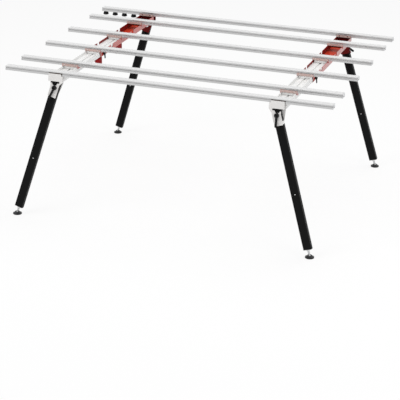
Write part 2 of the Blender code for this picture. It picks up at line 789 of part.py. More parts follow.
def stem_mesh():
    """Threaded stem with its collar and ball, along local Z, with the leg's end at Z = 0."""
    rod, neck = STEM_DIAMETER / 2, NECK_DIAMETER / 2
    collar = COLLAR_DIAMETER / 2
    ball = BALL_DIAMETER / 2
    collar_low = -TOUCH - COLLAR_HEIGHT
    meet = math.asin(neck / ball)
    steps = 2 * CORNER_STEPS
    curve = [meet + (math.pi - meet) * step / steps for step in range(steps + 1)]
    return turned(
        [
            (0, STEM_INSIDE),
            (rod, STEM_INSIDE),
            (rod, -TOUCH),
            (collar, -TOUCH),
            (collar, collar_low),
            (neck, collar_low),
            *((ball * math.sin(at), ball * math.cos(at) - STEM_REACH) for at in curve[:-1]),
            (0, -ball - STEM_REACH),
        ]
    )


def pad_mesh():
    """Round foot pad about its ball's centre, with a flared socket."""
    socket = BALL_DIAMETER / 2 + SOCKET_FIT
    rim = socket + SOCKET_FLARE
    outer = PAD_DIAMETER / 2
    boss = rim + BOSS_WALL
    profile = [
        (0, PAD_FLOOR),
        (socket, PAD_FLOOR),
        (socket, BALL_HEIGHT),
        (rim, PAD_HEIGHT),
        (boss, PAD_HEIGHT),
        (boss, BALL_HEIGHT),
        (outer, PAD_EDGE),
        (outer, 0),
        (0, 0),
    ]
    return turned([(radius, z - BALL_HEIGHT) for radius, z in profile])


def knob_mesh():
    """Cone knob with the T-head that hangs in the rail's slot. The rail's underside is at Z = 0."""
    head = SLOT_WIDTH / 2 - KNOB_FIT
    neck = SLOT_MOUTH / 2 - KNOB_FIT
    head_base = SLOT_LIP + TOUCH
    narrow, wide = KNOB_TOP_DIAMETER / 2, KNOB_DIAMETER / 2
    rim = KNOB_HEIGHT - KNOB_RIM
    return turned(
        [
            (0, head_base + KNOB_HEAD),
            (head, head_base + KNOB_HEAD),
            (head, head_base),
            (neck, head_base),
            (neck, -TOUCH),
            (narrow, -TOUCH),
            (wide, -rim),
            (wide - KNOB_RIM, -KNOB_HEIGHT),
            (0, -KNOB_HEIGHT),
        ]
    )


def add_rail(number, parent, mesh, cap, clip):
    y = RAIL_Y[number - 1]
    base = Matrix.Translation((0, y, RAIL_BASE))
    attach(add_part(f"rail_{number}", mesh, base, ALUMINIUM), parent)
    for end, end_sign in ENDS:
        turn = Matrix.Rotation(math.pi if end_sign < 0 else 0, 4, "Z")
        tip = Matrix.Translation((end_sign * RAIL_LENGTH / 2, y, RAIL_BASE))
        attach(add_part(f"end_cap_{number}_{end}", cap, tip @ turn, CAP_GREY), parent)
        if number in (2, 3, 4, 5):
            crossing = Matrix.Translation((end_sign * CROSS_X, y, RAIL_BASE))
            attach(add_part(f"clip_{number}_{end}", clip, crossing, RED_COAT), parent)


def add_corner(end, end_sign, side, side_sign, parent, leg, stem, pad):
    corner = f"{side}_{end}"
    frame = corner_matrix(end_sign, side_sign)
    coat = GREY_COAT if side_sign < 0 else RED_COAT
    attach(add_bracket(corner, end_sign, side_sign, coat), parent)
    lever = lever_mesh(side_sign, LEVER_ANGLE[corner])
    attach(add_part(f"leg_lever_{corner}", lever, frame, BLACK_PLASTIC), parent)
    leg_place = leg_matrix(end_sign, side_sign)
    leg_part = add_part(f"leg_{corner}", leg, leg_place, BLACK_COAT)
    attach(leg_part, parent)
    stem_place = leg_place @ Matrix.Translation((0, 0, STEM_REACH - ball_distance()))
    stem_part = add_part(f"foot_stem_{corner}", stem, stem_place, ZINC)
    attach(stem_part, leg_part)
    ball = (stem_place @ Matrix.Translation((0, 0, -STEM_REACH))).translation
    attach(add_part(f"foot_pad_{corner}", pad, Matrix.Translation(ball), RUBBER), stem_part)


def build():
    rear = add_pivot("rear_frame", Matrix.Translation((0, RAIL_Y[0], 0)), None)
    front = add_pivot("front_frame", Matrix.Translation((0, RAIL_Y[5], 0)), rear)
    carriage_3 = add_pivot("rail_3_carriage", Matrix.Translation((0, RAIL_Y[2], 0)), rear)
    carriage_4 = add_pivot("rail_4_carriage", Matrix.Translation((0, RAIL_Y[3], 0)), rear)
    rail, cap, clip = rail_mesh(), cap_mesh(), clip_mesh()
    for number, parent in enumerate((rear, rear, carriage_3, carriage_4, front, front), 1):
        add_rail(number, parent, rail, cap, clip)
    for end, end_sign in ENDS:
        attach(add_outer_channel(end, end_sign), rear)
        attach(add_inner_channel(end, end_sign), front)
        attach(add_lock(end, end_sign), rear)
    leg, stem, pad = leg_mesh(), stem_mesh(), pad_mesh()
    for end, end_sign in ENDS:
        for side, side_sign in SIDES:
            parent = front if side_sign < 0 else rear
            add_corner(end, end_sign, side, side_sign, parent, leg, stem, pad)
    knob = knob_mesh()
    for i in range(KNOB_COUNT):
        x = -RAIL_LENGTH / 2 + KNOB_INSET + i * KNOB_PITCH
        place = Matrix.Translation((x, RAIL_Y[0], RAIL_BASE))
        attach(add_part(f"clamp_knob_{i + 1}", knob, place, BLACK_PLASTIC), rear)


build()
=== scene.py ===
import json
import math

import bmesh
import bpy
from mathutils import Matrix, Vector


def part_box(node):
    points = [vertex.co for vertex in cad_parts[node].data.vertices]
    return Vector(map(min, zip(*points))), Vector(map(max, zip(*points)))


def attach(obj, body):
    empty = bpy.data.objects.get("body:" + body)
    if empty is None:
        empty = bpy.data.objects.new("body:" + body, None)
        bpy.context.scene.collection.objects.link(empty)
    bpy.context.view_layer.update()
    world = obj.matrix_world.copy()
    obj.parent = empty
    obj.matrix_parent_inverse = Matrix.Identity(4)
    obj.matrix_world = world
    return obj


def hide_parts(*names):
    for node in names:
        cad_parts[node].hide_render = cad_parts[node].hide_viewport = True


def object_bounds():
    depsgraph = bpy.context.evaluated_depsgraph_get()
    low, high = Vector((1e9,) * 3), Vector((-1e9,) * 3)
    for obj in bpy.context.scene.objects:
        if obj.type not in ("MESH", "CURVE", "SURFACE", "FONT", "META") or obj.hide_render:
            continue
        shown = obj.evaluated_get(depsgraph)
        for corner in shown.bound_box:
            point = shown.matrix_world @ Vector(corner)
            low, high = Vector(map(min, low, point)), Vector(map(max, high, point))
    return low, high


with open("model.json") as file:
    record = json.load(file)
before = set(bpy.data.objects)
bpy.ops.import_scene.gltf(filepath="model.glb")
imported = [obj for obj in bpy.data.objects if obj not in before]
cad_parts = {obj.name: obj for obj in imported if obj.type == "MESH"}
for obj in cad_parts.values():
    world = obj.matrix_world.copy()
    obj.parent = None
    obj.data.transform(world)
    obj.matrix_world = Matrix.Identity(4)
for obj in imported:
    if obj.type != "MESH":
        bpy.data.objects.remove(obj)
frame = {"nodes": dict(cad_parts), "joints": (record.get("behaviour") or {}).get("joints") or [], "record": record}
cadLow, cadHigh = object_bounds()
scene = bpy.context.scene
groups = frame["record"]["behaviour"]["bodies"]
bodyOf = {node: body for body, nodes in groups.items() for node in nodes}
jointOf = {joint["name"]: joint for joint in frame["joints"]}
cornerNames = ("front_left", "front_right", "rear_left", "rear_right")
endSign = {"left": -1, "right": 1}
bothWays = (-1, 1)
railCount, knobCount = 6, 4
alongX, alongY, upZ = Vector((1, 0, 0)), Vector((0, 1, 0)), Vector((0, 0, 1))


def middleOf(box, axis):
    return (box[0][axis] + box[1][axis]) / 2


crossX = middleOf(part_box("outer_channel_right"), 0)  # middle of a cross-member
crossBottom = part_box("outer_channel_right")[0].z


# Shader and geometry trees are wired through this, so maths reads as plain sums.
class Wire:
    def __init__(self, tree, socket=None):
        self.tree = tree
        self.socket = socket

    def node(self, kind, settings=None, inputs=None, out=0):
        made = self.tree.nodes.new(kind)
        for key, value in (settings or {}).items():
            if key == "stops":
                ramp = made.color_ramp.elements
                for stop, (place, level) in zip((ramp[0], ramp[1]), value):
                    stop.position = place
                    stop.color = (level, level, level, 1)
            else:
                setattr(made, key, value)
        for key, value in (inputs or {}).items():
            if isinstance(value, list):
                for one in value:
                    self.tree.links.new(one.socket, made.inputs[key])
            elif isinstance(value, Wire):
                self.tree.links.new(value.socket, made.inputs[key])
            else:
                made.inputs[key].default_value = value
        return Wire(self.tree, made.outputs[out])

    def sum(self, operation, a, b):
        return self.node("ShaderNodeMath", {"operation": operation}, {0: a, 1: b})

    def __add__(self, other):
        return self.sum("ADD", self, other)

    def __sub__(self, other):
        return self.sum("SUBTRACT", self, other)

    def __rsub__(self, other):
        return self.sum("SUBTRACT", other, self)

    def __mul__(self, other):
        return self.sum("MULTIPLY", self, other)

    __radd__ = __add__
    __rmul__ = __mul__


def newFinish(name):
    material = bpy.data.materials.new(name)
    material.use_nodes = True
    tree = material.node_tree
    return material, tree.nodes["Principled BSDF"], Wire(tree)


def grain(wire, scale, stretch=(1, 1, 1), detail=3, shift=(0, 0, 0)):
    spot = wire.node("ShaderNodeTexCoord", out="Object")
    spot = wire.node("ShaderNodeMapping", inputs={"Vector": spot, "Scale": stretch, "Location": shift})
    return wire.node("ShaderNodeTexNoise", inputs={"Vector": spot, "Scale": scale, "Detail": detail})


def cells(wire, scale):
    spot = wire.node("ShaderNodeTexCoord", out="Object")
    return wire.node("ShaderNodeTexVoronoi", inputs={"Vector": spot, "Scale": scale})


def objectAxis(wire, axis):
    spot = wire.node("ShaderNodeTexCoord", out="Object")
    return wire.node("ShaderNodeSeparateXYZ", inputs={0: spot}, out=axis)


def edgeMask(wire):
    return wire.node("ShaderNodeAttribute", {"attribute_name": "edge"}, out="Fac")


def above(wire, value, low, high):
    steps = {"stops": ((low, 0), (high, 1))}
    return wire.node("ShaderNodeValToRGB", steps, {"Fac": value})


# For spans too short for a ramp
def past(wire, value, low, span):
    return wire.node("ShaderNodeMapRange", inputs={0: value, 1: low, 2: low + span})


def blendColour(wire, factor, first, second):
    sockets = {0: factor, 6: first, 7: second}
    return wire.node("ShaderNodeMix", {"data_type": "RGBA"}, sockets, out=2)


def tint(colour, level=1.0):
    return (colour[0] * level, colour[1] * level, colour[2] * level, 1)


def shaded(wire, factor, colour, spread):
    return blendColour(wire, factor, tint(colour, 1 - spread), tint(colour, 1 + spread))


def join(wire, source, skin, socket):
    wire.tree.links.new(source.socket, skin.inputs[socket])


# What every finish varies: its colour, its roughness and a fine relief
def dress(wire, skin, colour, rough, height, relief):
    strength, depth = relief
    bump = wire.node("ShaderNodeBump", inputs={"Height": height, "Strength": strength, "Distance": depth})
    join(wire, colour, skin, "Base Color")
    join(wire, rough, skin, "Roughness")
    join(wire, bump, skin, "Normal")


railLook = {
    "side": (0.575, 0.575, 0.575),  # satin sides
    "top": (0.72, 0.72, 0.72),  # painted highlight: tops coloured lighter than the sides, as the light falls on them from above
    "litTopStart": 0.0012,  # below the table's top
    "litTopSpan": 0.0008,
    "rough": 0.32,
    "metal": 0.62,
    "lines": 900,  # drawing lines across the section, per metre
    "clouds": 5.0,
    "scuffs": 60,
    "rub": 0.10,  # how far sliding boards have dulled the tops
    "relief": (0.10, 0.0002),
}


def anodisedFinish():
    look = railLook
    material, skin, wire = newFinish("anodisedRail")
    drawn = grain(wire, look["lines"], (0.004, 1, 1), 2)
    cloudy = grain(wire, look["clouds"], (0.5, 1, 1), 4)
    # Painted highlight: the top faces get a lighter colour than the sides, standing in for the light from above;
    # the scuffs on them are wear
    top = past(wire, objectAxis(wire, "Z"), cadHigh.z - look["litTopStart"], look["litTopSpan"])
    scuffs = above(wire, grain(wire, look["scuffs"], (4, 0.12, 1), 3, (3, 1, 0)), 0.56, 0.70) * top
    tone = drawn * 0.55 + cloudy * 0.45
    sides, litTops = shaded(wire, tone, look["side"], 0.08), shaded(wire, tone, look["top"], 0.06)
    colour = blendColour(wire, top, sides, litTops)
    colour = blendColour(wire, scuffs * look["rub"] * 3, colour, tint(look["top"], 0.80))
    rough = drawn * 0.10 + cloudy * 0.08 + scuffs * look["rub"] + (look["rough"] - 0.09)
    skin.inputs["Metallic"].default_value = look["metal"]
    dress(wire, skin, colour, rough, drawn + scuffs * 0.3, look["relief"])
    return material


coatGrain = {"peel": 520, "fine": 1900, "clouds": 9, "chips": 120, "scuffs": 40, "streaks": 60}
coatDepth = 0.0006
# Body is roughness, shine, orange peel, clear coat and the clear coat's roughness.
coatLooks = {
    "redCoat": {
        "colour": (0.42, 0.026, 0.015),
        "chip": (0.48, 0.10, 0.07),
        "body": (0.42, 0.14, 0.08, 1.0, 0.10),
        "inside": (0.19, 0.007, 0.006),  # inner walls painted darker, a painted shade inside the channel
        "paintedLitFloor": (0.52, 0.040, 0.016),  # floor painted lighter than the walls, as lit from above
        "outside": (0.0422, 0.0004),  # clear coat past this, from the cross-member's middle
        "floor": (0.0034, 0.0012),  # painted lighter below this, above the cross-member's bottom
    },
    # Rear brackets: a darker copy of the channel's red, a painted shade
    "shadedBracketRed": {
        "colour": (0.12, 0.005, 0.005),
        "chip": (0.30, 0.06, 0.05),
        "body": (0.48, 0.08, 0.08, 0.0, 0.15),
    },
    # Drop plates: a darker copy of the red, painted shade under the channel
    "shadedPlateRed": {
        "colour": (0.25, 0.005, 0.006),
        "chip": (0.40, 0.08, 0.06),
        "body": (0.50, 0.03, 0.08, 0.0, 0.15),
    },
    "greyCoat": {
        "colour": (0.80, 0.785, 0.772),
        "chip": (0.55, 0.54, 0.53),
        "body": (0.42, 0.45, 0.12, 0.10, 0.22),
    },
    "whiteCoat": {
        "colour": (0.78, 0.78, 0.772),
        "chip": (0.66, 0.66, 0.66),
        "body": (0.40, 0.45, 0.10, 0.10, 0.22),
    },
    "blackCoat": {
        "colour": (0.0045, 0.0045, 0.0048),
        "chip": (0.06, 0.06, 0.06),
        "body": (0.50, 0.09, 0.16, 0.0, 0.22),
    },
}


def coatFinish(name):
    look = coatLooks[name]
    base, shine, peelDepth, coat, gloss = look["body"]
    material, skin, wire = newFinish(name)
    peel = grain(wire, coatGrain["peel"], detail=2)
    fine = grain(wire, coatGrain["fine"], detail=2)
    cloudy = grain(wire, coatGrain["clouds"], detail=4)
    edge = edgeMask(wire)
    chips = above(wire, grain(wire, coatGrain["chips"], detail=5), 0.56, 0.64) * edge
    scuffs = above(wire, grain(wire, coatGrain["scuffs"], (1, 1, 0.15), 5, (5, 2, 1)), 0.66, 0.74)
    colour = shaded(wire, cloudy, look["colour"], 0.10)
    if "inside" in look:
        # Inside the channel the walls get a painted shade and the floor is painted lighter, as lit from above,
        # with streaky variation
        aside = wire.sum("ABSOLUTE", wire.sum("ABSOLUTE", objectAxis(wire, "X"), 0) - crossX, 0)
        outside = past(wire, aside, *look["outside"])
        wall = past(wire, objectAxis(wire, "Z") - crossBottom, *look["floor"])
        streaks = grain(wire, coatGrain["streaks"], (1, 0.04, 1), 4, (2, 0, 3))
        inside = blendColour(wire, wall, shaded(wire, streaks, look["paintedLitFloor"], 0.20), tint(look["inside"]))
        colour = blendColour(wire, outside, inside, colour)
        join(wire, outside * coat, skin, "Coat Weight")
    else:
        skin.inputs["Coat Weight"].default_value = coat
    skin.inputs["Specular IOR Level"].default_value = shine
    skin.inputs["Coat Roughness"].default_value = gloss
    colour = blendColour(wire, edge * 0.18 + chips * 0.5 + scuffs * 0.06, colour, tint(look["chip"]))
    rough = cloudy * 0.10 + scuffs * 0.12 + fine * 0.06 + (base - 0.08)
    dress(wire, skin, colour, rough, peel * 0.8 + fine * 0.2 - chips * 0.4, (peelDepth, coatDepth))
    return material


plasticLooks = {
    "blackPlastic": {"colour": (0.0065, 0.0065, 0.007), "rough": 0.42, "shine": 0.20, "grain": 1500},
    "padPlastic": {"colour": (0.016, 0.016, 0.017), "rough": 0.42, "shine": 0.40, "grain": 1300},
    "capPlastic": {"colour": (0.62, 0.625, 0.63), "rough": 0.44, "shine": 0.50, "grain": 1600},
    "padBeige": {"colour": (0.578, 0.429, 0.392), "rough": 0.50, "shine": 0.35, "grain": 1400},
    "glideWhite": {"colour": (0.86, 0.86, 0.85), "rough": 0.40, "shine": 0.45, "grain": 1500},
    # dark brown of the painted shadow strip at the brackets' plates
    "shadowStripBrown": {"colour": (0.045, 0.026, 0.018), "rough": 0.60, "shine": 0.25, "grain": 1200},
    # dark maroon, a painted shade in the channel's rear end
    "shadeMaroon": {"colour": (0.030, 0.0045, 0.0045), "rough": 0.60, "shine": 0.20, "grain": 900},
}
plasticGrain = {"clouds": 30, "relief": (0.12, 0.0003)}


def plasticFinish(name):
    look = plasticLooks[name]
    material, skin, wire = newFinish(name)
    leather = cells(wire, look["grain"])
    cloudy = grain(wire, plasticGrain["clouds"], detail=4)
    colour = shaded(wire, cloudy, look["colour"], 0.15)
    colour = blendColour(wire, edgeMask(wire) * 0.25, colour, tint(look["colour"], 1.6))
    rough = cloudy * 0.16 + leather * 0.06 + (look["rough"] - 0.11)
    skin.inputs["Specular IOR Level"].default_value = look["shine"]
    dress(wire, skin, colour, rough, leather, plasticGrain["relief"])
    return material


zincLook = {
    "dull": (0.58, 0.59, 0.61),
    "bright": (0.74, 0.74, 0.73),
    "rough": 0.20,
    "metal": 0.95,
    "clouds": 160,
    "spangle": 900,
    "relief": (0.05, 0.0003),
}


def zincFinish():
    look = zincLook
    material, skin, wire = newFinish("zincPlate")
    cloudy = grain(wire, look["clouds"], detail=4)
    colour = blendColour(wire, cloudy, tint(look["dull"]), tint(look["bright"]))
    rough = cloudy * 0.14 + cells(wire, look["spangle"]) * 0.06 + look["rough"]
    skin.inputs["Metallic"].default_value = look["metal"]
    dress(wire, skin, colour, rough, cloudy, look["relief"])
    return material


rubberLook = {
    "colour": (0.005, 0.005, 0.005),
    "dust": (0.022, 0.021, 0.020),
    "rough": 0.74,
    "clouds": 90,
    "pores": 1400,
    "relief": (0.25, 0.0004),
}


def rubberFinish():
    look = rubberLook
    material, skin, wire = newFinish("soleRubber")
    dust = above(wire, grain(wire, look["clouds"], detail=6), 0.48, 0.78)
    colour = blendColour(wire, dust * 0.6, tint(look["colour"]), tint(look["dust"]))
    dress(wire, skin, colour, dust * 0.12 + look["rough"], grain(wire, look["pores"]), look["relief"])
    return material


anodised = anodisedFinish()
redCoat, shadedBracketRed, shadedPlateRed, greyCoat, whiteCoat, blackCoat = (coatFinish(name) for name in coatLooks)
blackPlastic, padPlastic, capPlastic, padBeige, glideWhite, shadowStripBrown, shadeMaroon = (
    plasticFinish(name) for name in plasticLooks
)
zinc = zincFinish()
rubber = rubberFinish()
print("finishes mixed:", len(bpy.data.materials))


# Meshes. An edge past this many degrees stays sharp.
creases = {"plain": 40, "stud": 35, "rail": 32, "screw": 30, "soft": 50}


def toMesh(shape, name, crease="plain"):
    mesh = bpy.data.meshes.new(name)
    shape.to_mesh(mesh)
    shape.free()
    mesh.shade_smooth()
    mesh.set_sharp_from_angle(angle=math.radians(creases[crease]))
    return mesh


def addPiece(name, mesh, finish, body, stands=()):
    piece = bpy.data.objects.new(name, mesh)
    scene.collection.objects.link(piece)
    mesh.materials.clear()
    mesh.materials.append(finish)
    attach(piece, body)
    if stands:
        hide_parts(*stands)


# Profile rows are radius and height from the top down; a third value of 6 makes that ring a hexagon.
def turned(profile, steps=24):
    shape = bmesh.new()
    rings = []
    for radius, height, *sides in profile:
        if radius == 0:
            rings.append([shape.verts.new((0, 0, height))])
            continue
        ring = []
        for step in range(steps):
            angle = 2 * math.pi * step / steps
            reach = radius
            if sides:
                wedge = 2 * math.pi / sides[0]
                reach = radius / math.cos(angle % wedge - wedge / 2)
            ring.append(shape.verts.new((reach * math.cos(angle), reach * math.sin(angle), height)))
        rings.append(ring)
    skinRings(shape, rings)
    bmesh.ops.recalc_face_normals(shape, faces=shape.faces)
    return shape


def skinRings(shape, rings):
    for first, second in zip(rings, rings[1:]):
        count = max(len(first), len(second))
        for step in range(count):
            after = (step + 1) % count
            if len(first) == 1:
                shape.faces.new((first[0], second[step], second[after]))
            elif len(second) == 1:
                shape.faces.new((first[step], second[0], first[after]))
            else:
                shape.faces.new((first[step], second[step], second[after], first[after]))


def roundedLoop(halfX, halfY, radius, z, count):
    loop = []
    for signX, signY, start in ((1, 1, 0), (-1, 1, 90), (-1, -1, 180), (1, -1, 270)):
        for step in range(count + 1):
            angle = math.radians(start + 90 * step / count)
            x = signX * (halfX - radius) + radius * math.cos(angle)
            y = signY * (halfY - radius) + radius * math.sin(angle)
            loop.append(Vector((x, y, z)))
    return loop


def lofted(loops):
    shape = bmesh.new()
    rings = [[shape.verts.new(point) for point in loop] for loop in loops]
    skinRings(shape, rings)
    shape.faces.new(rings[0])
    shape.faces.new(rings[-1])
    bmesh.ops.recalc_face_normals(shape, faces=shape.faces)
    return shape


# Rows are half width, half length, corner and height.
def barShape(rows, count=3):
    return lofted([roundedLoop(*row, count) for row in rows])


def gathered(shapes):
    whole = bmesh.new()
    for shape in shapes:
        part = bpy.data.meshes.new("part")
        shape.to_mesh(part)
        shape.free()
        whole.from_mesh(part)
        bpy.data.meshes.remove(part)
    return whole


def roundEdges(shape, edges, width, steps=2, clamp=False):
    how = {"segments": steps, "profile": 0.5, "affect": "EDGES", "clamp_overlap": clamp}
    return bmesh.ops.bevel(shape, geom=edges, offset=width, **how)["faces"]


def sharpEdges(shape, angle):
    return [edge for edge in shape.edges if edge.is_manifold and edge.calc_face_angle() > angle]


cadEdges = {"merge": 1e-5, "flat": math.radians(1), "sharp": math.radians(40), "normals": 60}


# A CAD node's shape with its edges rounded. Rounds are (test on an edge's two local points, width, steps).
def softened(node, width, rounds=(), place=Matrix(), steps=2):
    shape = bmesh.new()
    shape.from_mesh(frame["nodes"][node].data)
    bmesh.ops.remove_doubles(shape, verts=shape.verts, dist=cadEdges["merge"])
    bmesh.ops.dissolve_limit(shape, angle_limit=cadEdges["flat"], verts=shape.verts, edges=shape.edges)
    layer = shape.faces.layers.float.new("edge")
    local = place.inverted()
    for test, size, count in (*rounds, (None, width, steps)):
        edges = sharpEdges(shape, cadEdges["sharp"])
        if test:
            edges = [edge for edge in edges if test(*(local @ end.co for end in edge.verts))]
        for face in roundEdges(shape, edges, size, count, True):
            face[layer] = 1
    mesh = bpy.data.meshes.new(node)
    shape.to_mesh(mesh)
    shape.free()
    mesh.shade_smooth()
    return evenNormals(mesh)


def evaluated(holder):
    return bpy.data.meshes.new_from_object(holder.evaluated_get(bpy.context.evaluated_depsgraph_get()))


# Flat faces keep their own direction and the rounded edges run into them.
def evenNormals(mesh):
    holder = bpy.data.objects.new("holder", mesh)
    scene.collection.objects.link(holder)
    holder.modifiers.new("even", "WEIGHTED_NORMAL").weight = cadEdges["normals"]
    result = evaluated(holder)
    bpy.data.objects.remove(holder)
    return result


# Geometry trees
def newTree(name, inputs):
    tree = bpy.data.node_groups.new(name, "GeometryNodeTree")
    tree.interface.new_socket("Geometry", in_out="INPUT", socket_type="NodeSocketGeometry")
    for label, kind, value in inputs:
        socket = tree.interface.new_socket(label, in_out="INPUT", socket_type="NodeSocket" + kind)
        if value is not None:
            socket.default_value = value
    tree.interface.new_socket("Geometry", in_out="OUTPUT", socket_type="NodeSocketGeometry")
    start = tree.nodes.new("NodeGroupInput")
    return Wire(tree), {socket.name: Wire(tree, socket) for socket in start.outputs if socket.name}


def closeTree(wire, geometry, finish):
    geometry = wire.node("GeometryNodeRealizeInstances", inputs={0: geometry})
    geometry = wire.node("GeometryNodeSetMaterial", inputs={"Geometry": geometry, "Material": finish})
    end = wire.tree.nodes.new("NodeGroupOutput")
    wire.tree.links.new(geometry.socket, end.inputs[0])
    return wire.tree


def grown(tree, values, base=None):
    holder = bpy.data.objects.new("holder", base or bpy.data.meshes.new("start"))
    modifier = holder.modifiers.new("tree", "NODES")
    modifier.node_group = tree
    for item in tree.interface.items_tree:
        if item.item_type == "SOCKET" and item.in_out == "INPUT" and item.name in values:
            modifier[item.identifier] = values[item.name]
    scene.collection.objects.link(holder)
    mesh = evaluated(holder)
    holder.modifiers.remove(modifier)
    bpy.data.objects.remove(holder)
    return mesh


# One small shape set on many points. Its Z turns to the point's axis and its X to the point's side.
def studTree():
    inputs = [("Shape", "Object", None), ("Size", "Float", 1.0), ("Finish", "Material", None)]
    wire, given = newTree("studPattern", inputs)
    shape = wire.node("GeometryNodeObjectInfo", inputs={"Object": given["Shape"]}, out="Geometry")
    vector = {"data_type": "FLOAT_VECTOR"}
    turn = {}
    for label, settings in (("axis", {"axis": "Z"}), ("side", {"axis": "X", "pivot_axis": "Z"})):
        turn["Vector"] = wire.node("GeometryNodeInputNamedAttribute", vector, {"Name": label})
        turn["Rotation"] = wire.node("FunctionNodeAlignRotationToVector", settings, turn)
    spread = {"Points": given["Geometry"], "Instance": shape, "Scale": given["Size"]}
    spread["Rotation"] = turn["Rotation"]
    return closeTree(wire, wire.node("GeometryNodeInstanceOnPoints", inputs=spread), given["Finish"])


studs = studTree()


# Spots are (place, axis) or (place, axis, side).
def addStuds(name, shape, spots, finish, body, size=1.0):
    pattern = bpy.data.objects.new("pattern", toMesh(shape.copy(), "pattern", "stud"))
    points = bpy.data.meshes.new("points")
    points.from_pydata([spot[0] for spot in spots], [], [])
    axes = points.attributes.new("axis", "FLOAT_VECTOR", "POINT")
    sides = points.attributes.new("side", "FLOAT_VECTOR", "POINT")
    for index, (_, axis, *side) in enumerate(spots):
        axes.data[index].vector = axis
        sides.data[index].vector = side[0] if side else axis.orthogonal().normalized()
    mesh = grown(studs, {"Shape": pattern, "Size": size, "Finish": finish}, points)
    bpy.data.objects.remove(pattern)
    addPiece(name, mesh, finish, body)


# Spots evenly round a ring, whose axes point outwards and lean up by the tilt
def ringSpots(base, count, reach, rise, tilt=0):
    spots = []
    for step in range(count):
        turn = 2 * math.pi * step / count
        way = Vector((math.cos(turn), math.sin(turn), 0))
        around = Vector((-math.sin(turn), math.cos(turn), 0))
        place = base + way * reach + upZ * rise
        spots.append((place, way * math.cos(tilt) + upZ * math.sin(tilt), around))
    return spots


def addShape(name, shape, place, finish, body, stands=(), crease="plain"):
    shape.transform(place)
    addPiece(name, toMesh(shape, name, crease), finish, body, stands)


boltSize = {"flats": 0.0050, "height": 0.0038, "washer": 0.0082, "sheet": 0.0011}
rivetSteps = 20
rivetProfile = ((0, 0.0016), (0.0013, 0.0015), (0.0024, 0.0010), (0.0031, 0.0003), (0.0032, 0), (0, 0))


def boltShape():
    flats, height, washer, sheet = boltSize.values()
    top = sheet + height
    head = [(0, top), (flats * 0.86, top), (flats * 0.97, sheet + height * 0.90, 6)]
    head += [(flats, sheet + height * 0.82, 6), (flats, sheet, 6)]
    return turned([*head, (washer * 0.97, sheet), (washer, sheet * 0.7), (washer, 0), (0, 0)])


bolt, rivet = boltShape(), turned(rivetProfile, rivetSteps)


def axesMatrix(x, y, z, at):
    return Matrix.Translation(at) @ Matrix((x, y, z)).transposed().to_4x4()


# Frames of each leg's corner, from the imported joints
def cornerOf(name):
    clamp = jointOf["leg_clamp_" + name]
    pivot = Vector(clamp["pos_m"])
    across = Vector(clamp["axis"]).normalized()
    down = Vector(jointOf["foot_height_" + name]["axis"]).normalized()
    ball = Vector(jointOf["foot_swivel_" + name]["pos_m"])
    side = -1 if name.startswith("front") else 1
    up, out = alongX.cross(across), across * side
    return {
        "side": side,
        "end": endSign[name.split("_")[1]],
        "leg": axesMatrix(across.cross(-down), across, -down, pivot),
        "outward": axesMatrix(up.cross(out), up, out, pivot),  # Z is the pivot axis outwards, Y points up
        "stem": (ball - pivot).dot(down),
        "ball": ball,
        "down": down,
    }


corners = {name: cornerOf(name) for name in cornerNames}


# Rails: the section is filled, drawn out and closed at both ends.
railSize = {  # section in millimetres
    "half": 20.0,
    "height": 22.0,
    "mouth": 4.75,
    "lip": 2.2,
    "slot": 8.5,
    "slotTop": 8.2,
    "groove": (11.5, 16.5, 15.5, 0.4),  # low, high, depth reached from the middle, taper
    "wall": 1.8,
    "scores": (4.5, 13.0),  # fine lines in the top, from the middle
    "score": (0.7, 0.45),  # half width and depth of a line
    "scoreFloor": 0.4,  # share of its width
    "rounding": 0.00045,  # metres
    "merge": 0.00001,
}


def railLoops():
    size = railSize
    half, height, wall, slot, lip = (size[key] for key in ("half", "height", "wall", "slot", "lip"))
    low, high, floor, taper = size["groove"]
    wide, deep = size["score"]
    narrow = wide * size["scoreFloor"]
    right = [(slot, size["slotTop"]), (slot, lip), (size["mouth"], lip), (size["mouth"], 0), (half, 0)]
    right += [(half, low), (floor, low + taper), (floor, high - taper), (half, high), (half, height)]
    for middle in reversed(size["scores"]):
        right += [(middle + wide, height), (middle + narrow, height - deep)]
        right += [(middle - narrow, height - deep), (middle - wide, height)]
    outline = right + [(-y, z) for y, z in reversed(right)]
    inner, outer = slot + wall, half - wall
    room, roof = floor - wall, low - wall
    deck, lid = size["slotTop"] + wall, height - wall
    chambers = [
        [(-room, deck), (room, deck), (room, lid), (-room, lid)],
        [(inner, wall), (outer, wall), (outer, roof), (inner, roof)],
        [(-outer, wall), (-inner, wall), (-inner, roof), (-outer, roof)],
    ]
    return [outline, *chambers]


def railTree():
    inputs = [("Section", "Object", None), ("Length", "Float", 1.0), ("Rounding", "Float", 0.0004)]
    inputs += [("Start", "Vector", None), ("Finish", "Material", None)]
    wire, given = newTree("drawnRail", inputs)
    section = wire.node("GeometryNodeObjectInfo", inputs={"Object": given["Section"]}, out="Geometry")
    rounding = {"Curve": section, "Radius": given["Rounding"], "Limit Radius": True, "Count": 2}
    section = wire.node("GeometryNodeFilletCurve", {"mode": "POLY"}, rounding)
    face = wire.node("GeometryNodeFillCurve", {"mode": "NGONS"}, {"Curve": section})
    reach = wire.node("ShaderNodeCombineXYZ", inputs={"Z": given["Length"]})
    drawing = {"Mesh": face, "Offset": reach, "Individual": False}
    drawn = wire.node("GeometryNodeExtrudeMesh", {"mode": "FACES"}, drawing)
    back = wire.node("GeometryNodeFlipFaces", inputs={"Mesh": face})
    whole = wire.node("GeometryNodeJoinGeometry", inputs={"Geometry": [drawn, back]})
    closing = {"Geometry": whole, "Distance": railSize["merge"]}
    whole = wire.node("GeometryNodeMergeByDistance", inputs=closing)
    lay = {"Geometry": whole, "Translation": given["Start"], "Rotation": (math.pi / 2, 0, math.pi / 2)}
    return closeTree(wire, wire.node("GeometryNodeTransform", inputs=lay), given["Finish"])


